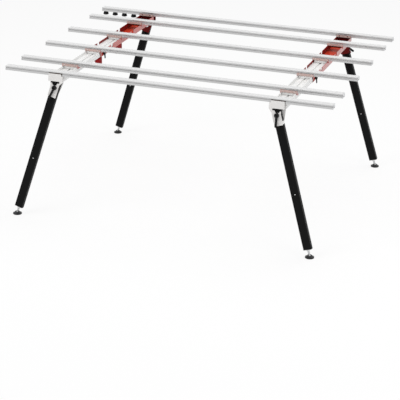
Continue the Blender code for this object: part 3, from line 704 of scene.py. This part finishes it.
def buildRails():
    curve = bpy.data.curves.new("railSection", "CURVE")
    curve.dimensions = "3D"
    for loop in railLoops():
        spline = curve.splines.new("POLY")
        spline.points.add(len(loop) - 1)
        for point, (y, z) in zip(spline.points, loop):
            point.co = (y / 1000, z / 1000, 0, 1)
        spline.use_cyclic_u = True
    section = bpy.data.objects.new("railSection", curve)
    tree = railTree()
    for number in range(1, railCount + 1):
        node = f"rail_{number}"
        low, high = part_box(node)
        values = {"Section": section, "Rounding": railSize["rounding"], "Finish": anodised}
        values["Length"] = high.x - low.x
        values["Start"] = (low.x, (low.y + high.y) / 2, low.z)
        shape = bmesh.new()
        shape.from_mesh(grown(tree, values))
        bmesh.ops.recalc_face_normals(shape, faces=shape.faces)
        mesh = toMesh(shape, node, "rail")
        addPiece(f"drawn_rail_{number}", mesh, anodised, bodyOf[node], [node])
    bpy.data.objects.remove(section)


capSize = {
    "edge": 0.0009,
    "screw": 0.0150,  # above the cap's underside
    "head": (
        (0, -0.0006), (0.0011, -0.0006, 6), (0.0012, 0.0003, 6), (0.0026, 0.0003),
        (0.0031, -0.0001), (0.0031, -0.001), (0, -0.001),
    ),
}


def buildCaps():
    head = turned(capSize["head"])
    for number in range(1, railCount + 1):
        heads = []
        for end, sign in endSign.items():
            node = f"end_cap_{number}_{end}"
            low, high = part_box(node)
            mesh = softened(node, capSize["edge"], steps=3)
            addPiece(f"moulded_cap_{number}_{end}", mesh, capPlastic, bodyOf[node], [node])
            face = high.x if sign > 0 else low.x
            place = Vector((face, (low.y + high.y) / 2, low.z + capSize["screw"]))
            heads.append((place, alongX * sign))
        addStuds(f"cap_screws_{number}", head, heads, zinc, bodyOf[f"rail_{number}"])
    head.free()


buildRails()
buildCaps()
print("rails and caps drawn")


clipSize = {"edge": 0.0007, "rivetSpread": 0.030, "rivet": 0.8}
lipPad = {
    "half": (0.0455, 0.0064),
    "corner": 0.0012,
    "thick": 0.0006,
    "sunk": 0.0002,
    "rise": 0.0039,  # middle of the pad above the rail's underside
    "rivetRise": 0.0052,
}
glideSize = {
    "wall": 0.0032,  # channel's wall and a clearance
    "deck": 0.0136,  # underside below the channel's upper edges
    "seat": 0.0029,  # upper side below the rail
    "long": 0.0385,
    "edge": 0.0012,
}


# A thin moulded pad that stands on a lip's face
def lipPadShape():
    (wide, tall), corner, thick = lipPad["half"], lipPad["corner"], lipPad["thick"]
    slope = thick / 2
    rows = (
        (wide, tall, corner, -lipPad["sunk"]),
        (wide, tall, corner, thick * 0.6),
        (wide - slope, tall - slope, corner - slope, thick),
    )
    return barShape(rows, 4)


# Where a lip's pad and its two rivets sit
def lipSpots(middle, face, base, way, spread):
    out = alongY * way
    rivets = []
    for sign in bothWays:
        place = Vector((middle + sign * spread, face, base + lipPad["rivetRise"]))
        rivets.append((place + out * lipPad["thick"], out))
    return (Vector((middle, face, base + lipPad["rise"])), out, alongX), rivets


# A slide block between a saddle and the inner channel's deck
def glideShape(wide, low, high):
    half, edge = glideSize["long"] / 2, glideSize["edge"]
    rows = (
        (wide - edge, half - edge, edge, low),
        (wide, half, 2 * edge, low + edge),
        (wide, half, 2 * edge, high - edge),
        (wide - edge, half - edge, edge, high),
    )
    return barShape(rows, 4)


def buildClips():
    pad = lipPadShape()
    for number in range(2, railCount):
        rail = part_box(f"rail_{number}")
        base = rail[0].z
        for end in endSign:
            node = f"clip_{number}_{end}"
            body = bodyOf[node]
            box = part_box(node)
            middle, front = middleOf(box, 0), box[0].y
            mesh = softened(node, clipSize["edge"])
            addPiece(f"saddle_{number}_{end}", mesh, redCoat, body, [node])
            pads, spots = [], []
            for face, way in ((front, -1), (rail[0].y + rail[1].y - front, 1)):
                spot, rivets = lipSpots(middle, face, base, way, clipSize["rivetSpread"])
                pads.append(spot)
                spots += rivets
            addStuds(f"lip_pads_{number}_{end}", pad, pads, padBeige, body)
            if number > 2:  # the inner channel doesn't reach rail 2
                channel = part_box("inner_channel_" + end)
                wide = (channel[1].x - channel[0].x) / 2 - glideSize["wall"]
                block = glideShape(wide, channel[1].z - glideSize["deck"], base - glideSize["seat"])
                place = Matrix.Translation((middle, middleOf(rail, 1), 0))
                addShape(f"glide_block_{number}_{end}", block, place, glideWhite, body)
            addStuds(f"saddle_rivets_{number}_{end}", rivet, spots, zinc, body, clipSize["rivet"])
    pad.free()


channelSize = {"edge": 0.0008, "bend": 0.0045, "steps": 4, "long": 0.1, "bottom": 1e-4}
shadeBlock = {
    "from": 0.546,  # along Y, clear of the inner channel when the table is closed
    "to": 0.650,
    "half": 0.0399,
    "base": 0.0026,  # above the cross-member's bottom
    "tall": 0.0080,
    "ridges": 7,
    "ridge": ((0.08, 0), (0.22, 1), (0.78, 1), (0.92, 0)),  # share of the pitch and of the rise
    "rise": 0.0024,
    "edge": 0.0005,
}


# Rubber block with ridges across its top, dark as painted shade: it stands in for the shadow in the channel's rear
# end
def shadeBlockShape():
    start, stop, half = shadeBlock["from"], shadeBlock["to"], shadeBlock["half"]
    pitch = (stop - start) / shadeBlock["ridges"]
    outline = [(start, 0), (stop, 0)]
    for step in range(shadeBlock["ridges"], 0, -1):
        for back, rise in shadeBlock["ridge"]:
            outline.append((start + (step - back) * pitch, shadeBlock["tall"] + rise * shadeBlock["rise"]))
    shape = lofted([[Vector((x, y, z)) for y, z in outline] for x in (-half, half)])
    roundEdges(shape, shape.edges[:], shadeBlock["edge"])
    return shape


dropPlate = {
    "spans": {"rear": (0.152, 0.020), "front": (-0.150, -0.245)},  # along Y, under the outer channel
    "sheet": 0.0025,
    "flange": 0.026,  # under the channel
    "drop": 0.040,
    "gap": 0.0002,
    "nose": 0.007,  # height left at the front end
    "slope": 0.045,  # length over which it grows to the full drop
    "edge": 0.0004,
    "rivets": (0.012, 0.028),  # from the rear end
}


# Angle plate: a flange under the channel and a web down from the channel's inner side
def dropPlateShape(face, inward, rear, front):
    sheet, flange, full = dropPlate["sheet"], dropPlate["flange"], dropPlate["drop"]
    top = crossBottom - dropPlate["gap"]
    loops = []
    for y, drop in ((rear, full), (front + dropPlate["slope"], full), (front, dropPlate["nose"])):
        section = ((0, 0), (0, drop), (sheet, drop), (sheet, sheet), (flange, sheet), (flange, 0))
        loops.append([Vector((face - inward * x, y, top - z)) for x, z in section])
    shape = lofted(loops)
    roundEdges(shape, shape.edges[:], dropPlate["edge"])
    return shape


def buildDropPlates(end):
    node = "outer_channel_" + end
    low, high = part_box(node)
    inward = -endSign[end]
    face = high.x if inward > 0 else low.x
    x = face - inward * dropPlate["flange"] / 2
    under = crossBottom - dropPlate["gap"] - dropPlate["sheet"]
    for place, (rear, front) in dropPlate["spans"].items():
        mesh = toMesh(dropPlateShape(face, inward, rear, front), "plate")
        addPiece(f"drop_plate_{place}_{end}", mesh, shadedPlateRed, bodyOf[node])
        spots = [(Vector((x, rear - back, under)), -upZ) for back in dropPlate["rivets"]]
        addStuds(f"drop_rivets_{place}_{end}", rivet, spots, shadedPlateRed, bodyOf[node])


def buildChannels():
    for end in endSign:
        node = "outer_channel_" + end
        place = Matrix.Translation((middleOf(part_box(node), 0), 0, crossBottom + shadeBlock["base"]))
        addShape("slide_stop_" + end, shadeBlockShape(), place, shadeMaroon, bodyOf[node])
        buildDropPlates(end)
    for kind, finish, slot in (("outer", redCoat, "red_coat"), ("inner", whiteCoat, "grey_coat")):
        for end in endSign:
            node = f"{kind}_channel_{end}"
            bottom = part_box(node)[0].z + channelSize["bottom"]

            def isBend(a, b):
                return abs(a.y - b.y) > channelSize["long"] and max(a.z, b.z) < bottom

            bends = [(isBend, channelSize["bend"], channelSize["steps"])]
            mesh = softened(node, channelSize["edge"], bends)
            addPiece(f"folded_{kind}_channel_{end}", mesh, finish, bodyOf[node], [node])


bracketSize = {
    "edge": 0.0008,
    "lip": 0.0228,  # lip's inner face from the rail's middle
    "rivetSpread": 0.024,
    "boltSpread": 0.019,
    "boltOut": 0.008,
    "bolt": 0.9,
    "padScale": 0.92,  # of a saddle's lip pad
    "seat": 0.0028,  # seat plate under the rail
    "weld": (0.0373, 0.0433),  # across, beside the inner cheek
    "weldDeep": 0.0021,
    "weldGap": 0.0001,
    "weldLow": 0.0045,  # above the channel's bottom
    "weldTop": 0.0006,  # below the seat
    "weldEdge": 0.0004,
}


# Two weld beads that join the channel's end walls to the inner cheek
def weldShape(middle, end, low, high):
    beads = []
    inner, outer = bracketSize["weld"]
    section = ((inner, low), (outer, low), (outer, high), (inner, high))
    start = end + bracketSize["weldGap"]
    ends = (start, start + bracketSize["weldDeep"])
    for sign in bothWays:
        bead = lofted([[Vector((middle + sign * x, y, z)) for x, z in section] for y in ends])
        roundEdges(bead, bead.edges[:], bracketSize["weldEdge"])
        beads.append(bead)
    return gathered(beads)


# Dark strip, a painted shadow for the gap between the plate's top and the rail's groove
shadowStripSize = {
    "half": 0.0365,  # along the rail, from the bracket's middle
    "base": 0.0108,  # lower edge above the rail's underside
    "tall": 0.0040,
    "deep": 0.0016,
    "tail": 0.0034,  # width of the stretch down the +X edge
    "foot": 0.0004,  # its end above the rail's underside
    "cut": 0.0008,  # slanted corners
    "proud": 0.0007,  # past the rail's face
    "edge": 0.0003,
}


# A dark bar along the plate's upper edge that turns down at its +X end: a painted shadow standing in for the shade
# gap where the plate meets the rail's groove
def shadowStripShape(place):
    half, base, tall, deep, tail, foot, cut, proud, edge = shadowStripSize.values()
    flat, side, top = half + tail * 0.6, half + tail, base + tall
    outline = [(-half, base), (half, base), (half, foot), (flat, foot), (side, foot + cut)]
    outline += [(side, base + tall * 0.7), (flat, top), (cut - half, top), (-half, top - cut)]
    seal = lofted([[Vector((x, y, z)) for x, y in outline] for z in (-deep, proud)])
    seal.transform(place)
    roundEdges(seal, seal.edges[:], edge, clamp=True)
    return seal


def buildBrackets():
    size = bracketSize
    pad = lipPadShape()
    for name, corner in corners.items():
        node = "bracket_" + name
        body = bodyOf[node]
        front = corner["side"] < 0
        # the rear brackets take the darker red, a painted shade
        finish, slot = (greyCoat, "grey_coat") if front else (shadedBracketRed, "red_coat")
        addPiece("welded_bracket_" + name, softened(node, size["edge"]), finish, body, [node])
        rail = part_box("rail_6" if front else "rail_1")
        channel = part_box("outer_channel_" + name.split("_")[1])
        middle, railY, base = middleOf(channel, 0), middleOf(rail, 1), rail[0].z
        inward = -corner["side"]
        lipFace, seat = railY + inward * size["lip"], base - size["seat"]
        seatBolts = []
        for sign in bothWays:
            place = Vector((middle + sign * size["boltSpread"], railY - inward * size["boltOut"], seat))
            seatBolts.append((place, -upZ))
        spot, rivets = lipSpots(middle, lipFace, base, inward, size["rivetSpread"])
        addStuds("lip_rivets_" + name, rivet, rivets, finish, body)
        addStuds("lip_pad_" + name, pad, [spot], padBeige, body, size["padScale"])
        face = Vector((middle, rail[0].y if front else rail[1].y, base))
        out = alongY * corner["side"]
        seal = shadowStripShape(axesMatrix(upZ.cross(out), upZ, out, face))
        addPiece("groove_seal_" + name, toMesh(seal, "seal"), shadowStripBrown, body)
        addStuds("seat_bolts_" + name, bolt, seatBolts, zinc, body, size["bolt"])
        if not front:
            weld = weldShape(middle, channel[1].y, channel[0].z + size["weldLow"], seat - size["weldTop"])
            addPiece("end_weld_" + name, toMesh(weld, "weld"), finish, body)
    pad.free()


buildClips()
buildChannels()
buildBrackets()
print("cross-members, saddles and brackets folded")


legSize = {
    "wide": 0.0225,  # half of the tube each way
    "half": 0.0125,
    "corner": 0.0035,
    "edge": 0.0006,
    "bore": 0.008,  # the pivot's hole keeps its edge within this
    "end": 0.038,  # of the tube, from the foot's ball
    "rivet": 0.422,  # below the pivot
    # Foot plug: past the tube, corner, above the tube's end
    "plug": (
        (-0.0004, 0.0032, 0.0003), (0.0005, 0.0038, -0.0002),
        (0.0005, 0.0038, -0.00132), (-0.0012, 0.0028, -0.0022),
    ),
    "cap": (0.0190, 0.0352),  # moulded head cap, from and to above the pivot
    "capOut": 0.0090,  # past the tube, on the table's outer side
    "capIn": 0.0006,
    "capSlant": (0.85, 0.93),  # corner cut on the inner side, as shares
    "capHalf": 0.0119,
    "capReach": 0.0402,  # of its corner from the pivot
    "capSteps": 6,
    "capEdge": 0.0012,
    "capSharp": 0.4,
}


# Moulded cap round the leg's head, short enough at its corners to pass the bracket's stop
def headCap(out):
    size = legSize
    low, high = size["cap"]
    reach, half = size["capReach"], size["capHalf"]
    outer, inner = size["wide"] + size["capOut"], size["wide"] + size["capIn"]
    first, last = math.acos(outer / reach), math.asin(high / reach)
    outline = [(-inner, low), (outer, low)]
    for step in range(size["capSteps"] + 1):
        angle = first + (last - first) * step / size["capSteps"]
        outline.append((reach * math.cos(angle), reach * math.sin(angle)))
    slantX, slantZ = size["capSlant"]
    outline += [(-inner * slantX, high), (-inner, high * slantZ)]
    cap = lofted([[Vector((out * x, y, z)) for x, z in outline] for y in (-half, half)])
    roundEdges(cap, sharpEdges(cap, size["capSharp"]), size["capEdge"], 3)
    return cap


def buildLegs():
    size = legSize
    wide, half = size["wide"], size["half"]

    def isSide(a, b):
        onFace = min(abs(a.y), abs(b.y)) > half - 1e-4 and a.y * b.y > 0
        nearBore = max(a.xz.length, b.xz.length) < size["bore"]
        return onFace and not nearBore

    for name, corner in corners.items():
        node = "leg_" + name
        mesh = softened(node, size["edge"], [(isSide, size["corner"], 4)], corner["leg"])
        addPiece("tube_leg_" + name, mesh, blackCoat, node, [node])
        foot = size["end"] - corner["stem"]
        rows = [(wide + out, half + out, turn, foot + rise) for out, turn, rise in size["plug"]]
        for label, shape in (("leg_plug_", barShape(rows, 6)), ("head_cap_", headCap(corner["end"]))):
            addShape(label + name, shape, corner["leg"], blackPlastic, node, crease="soft")
        spots = []
        for way in bothWays:
            place = corner["leg"] @ Vector((0, way * half, -size["rivet"]))
            spots.append((place, corner["leg"].to_3x3() @ (alongY * way)))
        addStuds("leg_rivets_" + name, rivet, spots, zinc, node)


leverSize = {
    # Degrees from straight down
    "angles": {"front_left": -25, "front_right": 0, "rear_left": -25, "rear_right": 55},
    "length": 0.063,
    "cheek": 0.0159,  # outer face of the cheek from the leg's middle
    "widths": (0.0074, 0.0066, 0.0060, 0.0062, 0.0066),
    "thickness": (0.0045, 0.0042, 0.0038, 0.0036, 0.0036),
    "lift": (0.0070, 0.0075, 0.0086, 0.0100, 0.0112),
    "hub": (
        (0, 0.0121), (0.00468, 0.0121), (0.0052, 0.0147), (0.00598, 0.0153), (0.00962, 0.0151),
        (0.01144, 0.0139), (0.01235, 0.0121), (0.013, 0.0078), (0.013, 0.0030), (0.01209, 0.0016),
        (0, 0.0016),
    ),
    "hubSteps": 40,
    "screw": (
        (0, 0.0119), (0.0016, 0.0119, 6), (0.0017, 0.0141, 6), (0.0030, 0.0141),
        (0.0037, 0.0135), (0.0038, 0.0123), (0, 0.0123),
    ),
    "ring": (
        (0.0052, 0.0014), (0.011349, 0.0014), (0.0117, 0.0010), (0.0117, 0.0002),
        (0.0052, 0.0002), (0.0052, 0.0014),
    ),
    "ringSteps": 36,
    "nut": (
        (0, 0.0072), (0.0034, 0.0072), (0.0042, 0.0064), (0.0042, 0.0058), (0.005616, 0.0060),
        (0.006708, 0.0054), (0.007566, 0.0048, 6), (0.0078, 0.0042, 6), (0.0078, 0.0014, 6),
        (0.008736, 0.0014), (0.008892, 0.0010), (0.008892, 0.0002), (0, 0.0002),
    ),
}
handleSize = {"steps": 14, "tipSteps": 5, "sides": 20, "square": 0.7, "tipThick": 0.35}


def along(values, share):
    spot = share * (len(values) - 1)
    index = min(int(spot), len(values) - 2)
    share = spot - index
    share = share * share * (3 - 2 * share)
    return values[index] * (1 - share) + values[index + 1] * share


def squared(value):
    return math.copysign(abs(value) ** handleSize["square"], value)


def handleShape(size, angle):
    steps, tipSteps, sides = handleSize["steps"], handleSize["tipSteps"], handleSize["sides"]
    tip, tipThick = size["widths"][-1], handleSize["tipThick"]
    direction = Vector((math.sin(angle), -math.cos(angle), 0))
    across = Vector((math.cos(angle), math.sin(angle), 0))
    loops = []
    for step in range(steps + tipSteps):
        share = min(step / steps, 1.0)
        shrink = 1.0
        reach = share * (size["length"] - tip)
        if step > steps:  # the rounded tip
            turn = math.radians(90 * (step - steps) / tipSteps)
            shrink = math.cos(turn)
            reach += tip * math.sin(turn)
        wide = along(size["widths"], share) * shrink
        thick = along(size["thickness"], share) * (tipThick + (1 - tipThick) * shrink)
        middle = direction * reach + upZ * along(size["lift"], share)
        loop = []
        for side in range(sides):
            turn = 2 * math.pi * side / sides
            x, z = squared(math.cos(turn)) * wide, squared(math.sin(turn)) * thick
            loop.append(middle + across * x + upZ * z)
        loops.append(loop)
    return lofted(loops)


def buildLevers():
    size = leverSize
    flip = Matrix.Rotation(math.pi, 4, "X")
    for name, corner in corners.items():
        node = "leg_lever_" + name
        angle = math.radians(size["angles"][name]) * -corner["side"]
        outside = corner["outward"] @ Matrix.Translation(upZ * size["cheek"])
        inside = corner["outward"] @ Matrix.Translation(upZ * -size["cheek"]) @ flip
        lever = gathered([turned(size["hub"], size["hubSteps"]), handleShape(size, angle)])
        addShape("clamp_lever_" + name, lever, outside, blackPlastic, node, [node])
        fixings = gathered([turned(size["screw"]), turned(size["ring"], size["ringSteps"])])
        addShape("clamp_fixings_" + name, fixings, outside, blackCoat, node, crease="screw")
        addShape("clamp_nut_" + name, turned(size["nut"]), inside, zinc, node, crease="screw")


lockSize = {
    "length": 0.029,
    "widths": (0.0066, 0.0062, 0.0058, 0.0058, 0.0060),
    "thickness": (0.0036, 0.0033, 0.0030, 0.0029, 0.0028),
    "lift": (0.0062, 0.0064, 0.0070, 0.0078, 0.0084),
    "hub": (
        (0, 0.0090), (0.00408, 0.0090), (0.00442, 0.0110), (0.00595, 0.0113), (0.00765, 0.0100),
        (0.0085, 0.0075), (0.0085, 0.0014), (0.00799, 0.0004), (0.0040, 0.0004),
        (0.0040, -0.0028), (0, -0.0028),
    ),
    "hubSteps": 32,
    "screw": (
        (0, 0.0090), (0.0014, 0.0090, 6), (0.0015, 0.0102, 6), (0.0030, 0.0102),
        (0.0036, 0.0096), (0.0036, 0.0088), (0, 0.0088),
    ),
}


def buildLocks():
    for end in endSign:
        node = "width_lock_" + end
        matrix = axesMatrix(alongY, upZ, alongX, Vector(jointOf["width_clamp_" + end]["pos_m"]))
        lever = gathered([turned(lockSize["hub"], lockSize["hubSteps"]), handleShape(lockSize, 0)])
        addShape("lock_lever_" + end, lever, matrix, blackPlastic, node, [node])
        addShape("lock_screw_" + end, turned(lockSize["screw"]), matrix, zinc, node, crease="screw")


buildLegs()
buildLevers()
buildLocks()
print("legs, levers and locks made")


footSize = {
    "core": 0.0053,
    "crest": 0.0007,
    "pitch": 0.00175,
    "inside": 0.039,  # length up the leg
    "thread": (0.0125, 0.0015),  # ends above the ball's middle and below the top
    "ball": 0.0065,
    "cup": range(40, 175, 15),  # degrees down the ball
    "top": ((0, 0), (0.004505, 0), (0.0053, 0.0008)),  # radius, below the top
    "neck": ((0.0053, 0.0105), (0.0044, 0.0095), (0.0042, 0.0060)),  # radius, above the ball's middle
    "steps": 32,
    "nut": (
        (0.00477, -0.0026), (0.00836, -0.0026), (0.00931, -0.0032, 6), (0.0095, -0.0040, 6),
        (0.0095, -0.0080, 6), (0.00931, -0.0088, 6), (0.00836, -0.0094), (0.00477, -0.0094),
        (0.00477, -0.0026),
    ),
}


# A ridge that winds round the stem
def threadTree():
    inputs = [("Turns", "Float", 10.0), ("Core", "Float", 0.005), ("Crest", "Float", 0.0007)]
    wire, given = newTree("stemThread", inputs + [("Rise", "Float", 0.02), ("Finish", "Material", None)])
    winding = {"Resolution": 24, "Rotations": given["Turns"], "Height": given["Rise"]}
    winding.update({"Start Radius": given["Core"], "End Radius": given["Core"]})
    path = wire.node("GeometryNodeCurveSpiral", inputs=winding)
    crest = {"Resolution": 4, "Radius": given["Crest"]}
    crest = wire.node("GeometryNodeCurvePrimitiveCircle", inputs=crest)
    sweep = {"Curve": path, "Profile Curve": crest, "Fill Caps": True}
    return closeTree(wire, wire.node("GeometryNodeCurveToMesh", inputs=sweep), given["Finish"])


def buildStems():
    size = footSize
    tree = threadTree()
    ball, inside, reach = size["ball"], size["inside"], legSize["end"]
    profile = [(radius, inside - drop) for radius, drop in size["top"]]
    profile += [(radius, rise - reach) for radius, rise in size["neck"]]
    for turn in map(math.radians, size["cup"]):
        profile.append((ball * math.sin(turn), ball * math.cos(turn) - reach))
    profile.append((0, -ball - reach))
    low, high = size["thread"][0] - reach, inside - size["thread"][1]
    values = {"Turns": (high - low) / size["pitch"], "Rise": high - low, "Finish": zinc}
    values.update({"Core": size["core"], "Crest": size["crest"]})
    for name, corner in corners.items():
        node = "foot_stem_" + name
        matrix = corner["leg"].copy()
        matrix.translation = corner["ball"] - corner["down"] * reach
        stem = gathered([turned(profile, size["steps"]), turned(size["nut"])])
        addShape("foot_bolt_" + name, stem, matrix, zinc, node, [node], "screw")
        mesh = grown(tree, values)
        mesh.transform(matrix @ Matrix.Translation(upZ * low))
        mesh.shade_smooth()
        mesh.set_sharp_from_angle(angle=math.radians(creases["plain"]))
        addPiece("foot_thread_" + name, mesh, zinc, node)


padSize = {
    "ballHeight": 0.0098,
    "cup": (
        (0, 0.0032), (0.0068, 0.0032), (0.0071, 0.0098), (0.0100, 0.0147), (0.0108, 0.0150),
        (0.0122, 0.0149), (0.0130, 0.0141), (0.0133, 0.0118), (0.0140, 0.0104), (0.0160, 0.0094),
        (0.0210, 0.0074), (0.0230, 0.0064), (0.0236, 0.0050), (0.0236, 0.0030), (0, 0.0030),
    ),
    "sole": (
        (0, 0.0031), (0.0232, 0.0031), (0.0240, 0.0036), (0.0240, 0.0008), (0.0232, 0.0001),
        (0.0210, 0.0001), (0.0206, 0.0007), (0.0070, 0.0007), (0.0066, 0.0001), (0, 0.0001),
    ),
    "rib": (
        (0.0009, 0.0020, 0.0006, -0.0006), (0.0009, 0.0020, 0.0006, 0.0002),
        (0.0005, 0.0016, 0.0004, 0.0005),
    ),
    "tread": (
        (0.0011, 0.0042, 0.0010, -0.0002), (0.0011, 0.0042, 0.0010, 0.0004),
        (0.0007, 0.0038, 0.0006, 0.0007),
    ),
    "steps": 48,
    "ribRing": (24, 0.0234, 0.0052),  # count, distance from the middle, height
    "treadRing": (16, 0.0138, 0.0007),
}


def buildPads():
    size = padSize
    rib, tread = barShape(size["rib"]), barShape(size["tread"])
    for name, corner in corners.items():
        node = "foot_pad_" + name
        base = corner["ball"] - upZ * size["ballHeight"]
        place = Matrix.Translation(base)
        cup, sole = turned(size["cup"], size["steps"]), turned(size["sole"], size["steps"])
        addShape("pad_cup_" + name, cup, place, padPlastic, node, [node])
        addShape("pad_sole_" + name, sole, place, rubber, node)
        treads = ringSpots(base, *size["treadRing"], tilt=-math.pi / 2)
        addStuds("pad_treads_" + name, tread, treads, rubber, node)
        ribs = ringSpots(base, *size["ribRing"])
        addStuds("pad_ribs_" + name, rib, ribs, blackPlastic, node)


knobSize = {
    "cone": (
        (0, -0.0004), (0.0087, -0.0004), (0.0095, -0.0012), (0.0159, -0.0176), (0.0165, -0.0188),
        (0.0161, -0.0206), (0.0143, -0.0220), (0.0105, -0.0220), (0.0095, -0.0208), (0.0050, -0.0208),
        (0.0044, -0.0216), (0, -0.0216),
    ),
    "steps": 42,
    "flute": (
        (0.0012, 0.0072, 0.0009, -0.0010), (0.0012, 0.0072, 0.0009, 0.0002),
        (0.0007, 0.0066, 0.0006, 0.0007),
    ),
    "fluteRing": (14, 0.0132, -0.0102),
    "slope": math.atan2(0.0070, 0.0180),  # of the cone's side
    "bolt": (
        (0, 0.0064), (0.0066, 0.0064), (0.0076, 0.0056), (0.0076, 0.0026), (0.0039, 0.0026),
        (0.0039, -0.0010), (0, -0.0010),
    ),
}


def buildKnobs():
    size = knobSize
    flute = barShape(size["flute"])
    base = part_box("rail_1")[0].z
    for number in range(1, knobCount + 1):
        node = f"clamp_knob_{number}"
        joint = jointOf[f"knob_turn_{number}"]["pos_m"]
        under = Vector((joint[0], joint[1], base))
        place = Matrix.Translation(under)
        cone = turned(size["cone"], size["steps"])
        addShape(f"cone_knob_{number}", cone, place, blackPlastic, node, [node])
        flutes = ringSpots(under, *size["fluteRing"], tilt=size["slope"])
        addStuds(f"knob_flutes_{number}", flute, flutes, blackPlastic, node)
        addShape(f"knob_bolt_{number}", turned(size["bolt"]), place, zinc, node, crease="screw")


buildStems()
buildPads()
buildKnobs()
print("feet and knobs turned")


cameraPlace = {
    "focal": 1588.7,  # in pixels of the frame
    "frame": 400,
    "sensor": 36,
    "azimuth": 18.446,
    "elevation": 21.197,
    "roll": 1.271,
    "at": (2.673, -8.086, 3.234),
    "far": 100,
}
studio = {
    "white": (1, 1, 1, 1),
    "world": 0.62,
    "floor": (0.90, 0.90, 0.90, 1),
    "floorHalf": 30,
    "floorGlow": 0.82,  # share of the floor that shows plain white to the camera
    "lamps": (
        {"name": "key", "at": (-2.6, -3.6, 5.2), "aim": (0, 0, 0.6), "size": 3.2, "power": 95},
        {"name": "top", "at": (0.6, 1.0, 5.0), "aim": (0, 0, 0.8), "size": 4.0, "power": 90},
        {"name": "fill", "at": (4.6, -2.2, 2.6), "aim": (0, 0, 0.5), "size": 3.0, "power": 45},
    ),
}


def setCamera():
    place = cameraPlace
    turn, rise, roll = (math.radians(place[key]) for key in ("azimuth", "elevation", "roll"))
    back = Vector((math.sin(turn) * math.cos(rise), -math.cos(turn) * math.cos(rise), math.sin(rise)))
    right = (-back).cross(upZ).normalized()
    up = right.cross(-back)
    tilted = math.cos(roll) * right + math.sin(roll) * up, math.cos(roll) * up - math.sin(roll) * right
    data = bpy.data.cameras.new("view")
    data.sensor_width = place["sensor"]
    data.lens = place["focal"] * data.sensor_width / place["frame"]
    data.clip_end = place["far"]
    camera = bpy.data.objects.new("view", data)
    camera.matrix_world = axesMatrix(*tilted, back, place["at"])
    scene.collection.objects.link(camera)
    scene.camera = camera


# The rays that see a backdrop: the camera's, and those off metal and through glass
def seenRays(wire):
    path = wire.tree.nodes.new("ShaderNodeLightPath").outputs
    rays = [Wire(wire.tree, path[f"Is {ray} Ray"]) for ray in ("Camera", "Glossy", "Transmission")]
    return wire.sum("MAXIMUM", wire.sum("MAXIMUM", rays[0], rays[1]), rays[2])


def emptied(owner):
    owner.use_nodes = True
    owner.node_tree.nodes.clear()
    return Wire(owner.node_tree)


def closeBackdrop(wire, share, lit, plain, output):
    mixed = wire.node("ShaderNodeMixShader", inputs={0: share, 1: lit, 2: plain})
    output = wire.tree.nodes.new(output)
    wire.tree.links.new(mixed.socket, output.inputs["Surface"])


def setStudio():
    scene.view_settings.view_transform = "Standard"
    white = {"Color": studio["white"], "Strength": 1.0}
    scene.world = bpy.data.worlds.new("studio")
    wire = emptied(scene.world)
    lit = wire.node("ShaderNodeBackground", inputs={**white, "Strength": studio["world"]})
    plain = wire.node("ShaderNodeBackground", inputs=white)
    closeBackdrop(wire, seenRays(wire), lit, plain, "ShaderNodeOutputWorld")

    shape = bmesh.new()
    bmesh.ops.create_grid(shape, x_segments=1, y_segments=1, size=studio["floorHalf"])
    floor = bpy.data.objects.new("studio_floor", toMesh(shape, "studio_floor"))
    scene.collection.objects.link(floor)
    material = bpy.data.materials.new("studioFloor")
    wire = emptied(material)
    matt = wire.node("ShaderNodeBsdfDiffuse", inputs={"Color": studio["floor"]})
    glow = wire.node("ShaderNodeEmission", inputs=white)
    closeBackdrop(wire, seenRays(wire) * studio["floorGlow"], matt, glow, "ShaderNodeOutputMaterial")
    floor.data.materials.append(material)

    for lamp in studio["lamps"]:
        data = bpy.data.lights.new(lamp["name"], "AREA")
        data.shape = "DISK"
        data.size = lamp["size"]
        data.energy = lamp["power"]
        light = bpy.data.objects.new(lamp["name"], data)
        aim = (Vector(lamp["aim"]) - Vector(lamp["at"])).to_track_quat("-Z", "Y")
        light.matrix_world = Matrix.Translation(lamp["at"]) @ aim.to_matrix().to_4x4()
        light.visible_glossy = False  # metal shows the backdrop, not the lamps
        scene.collection.objects.link(light)


setCamera()
setStudio()
print("studio set")
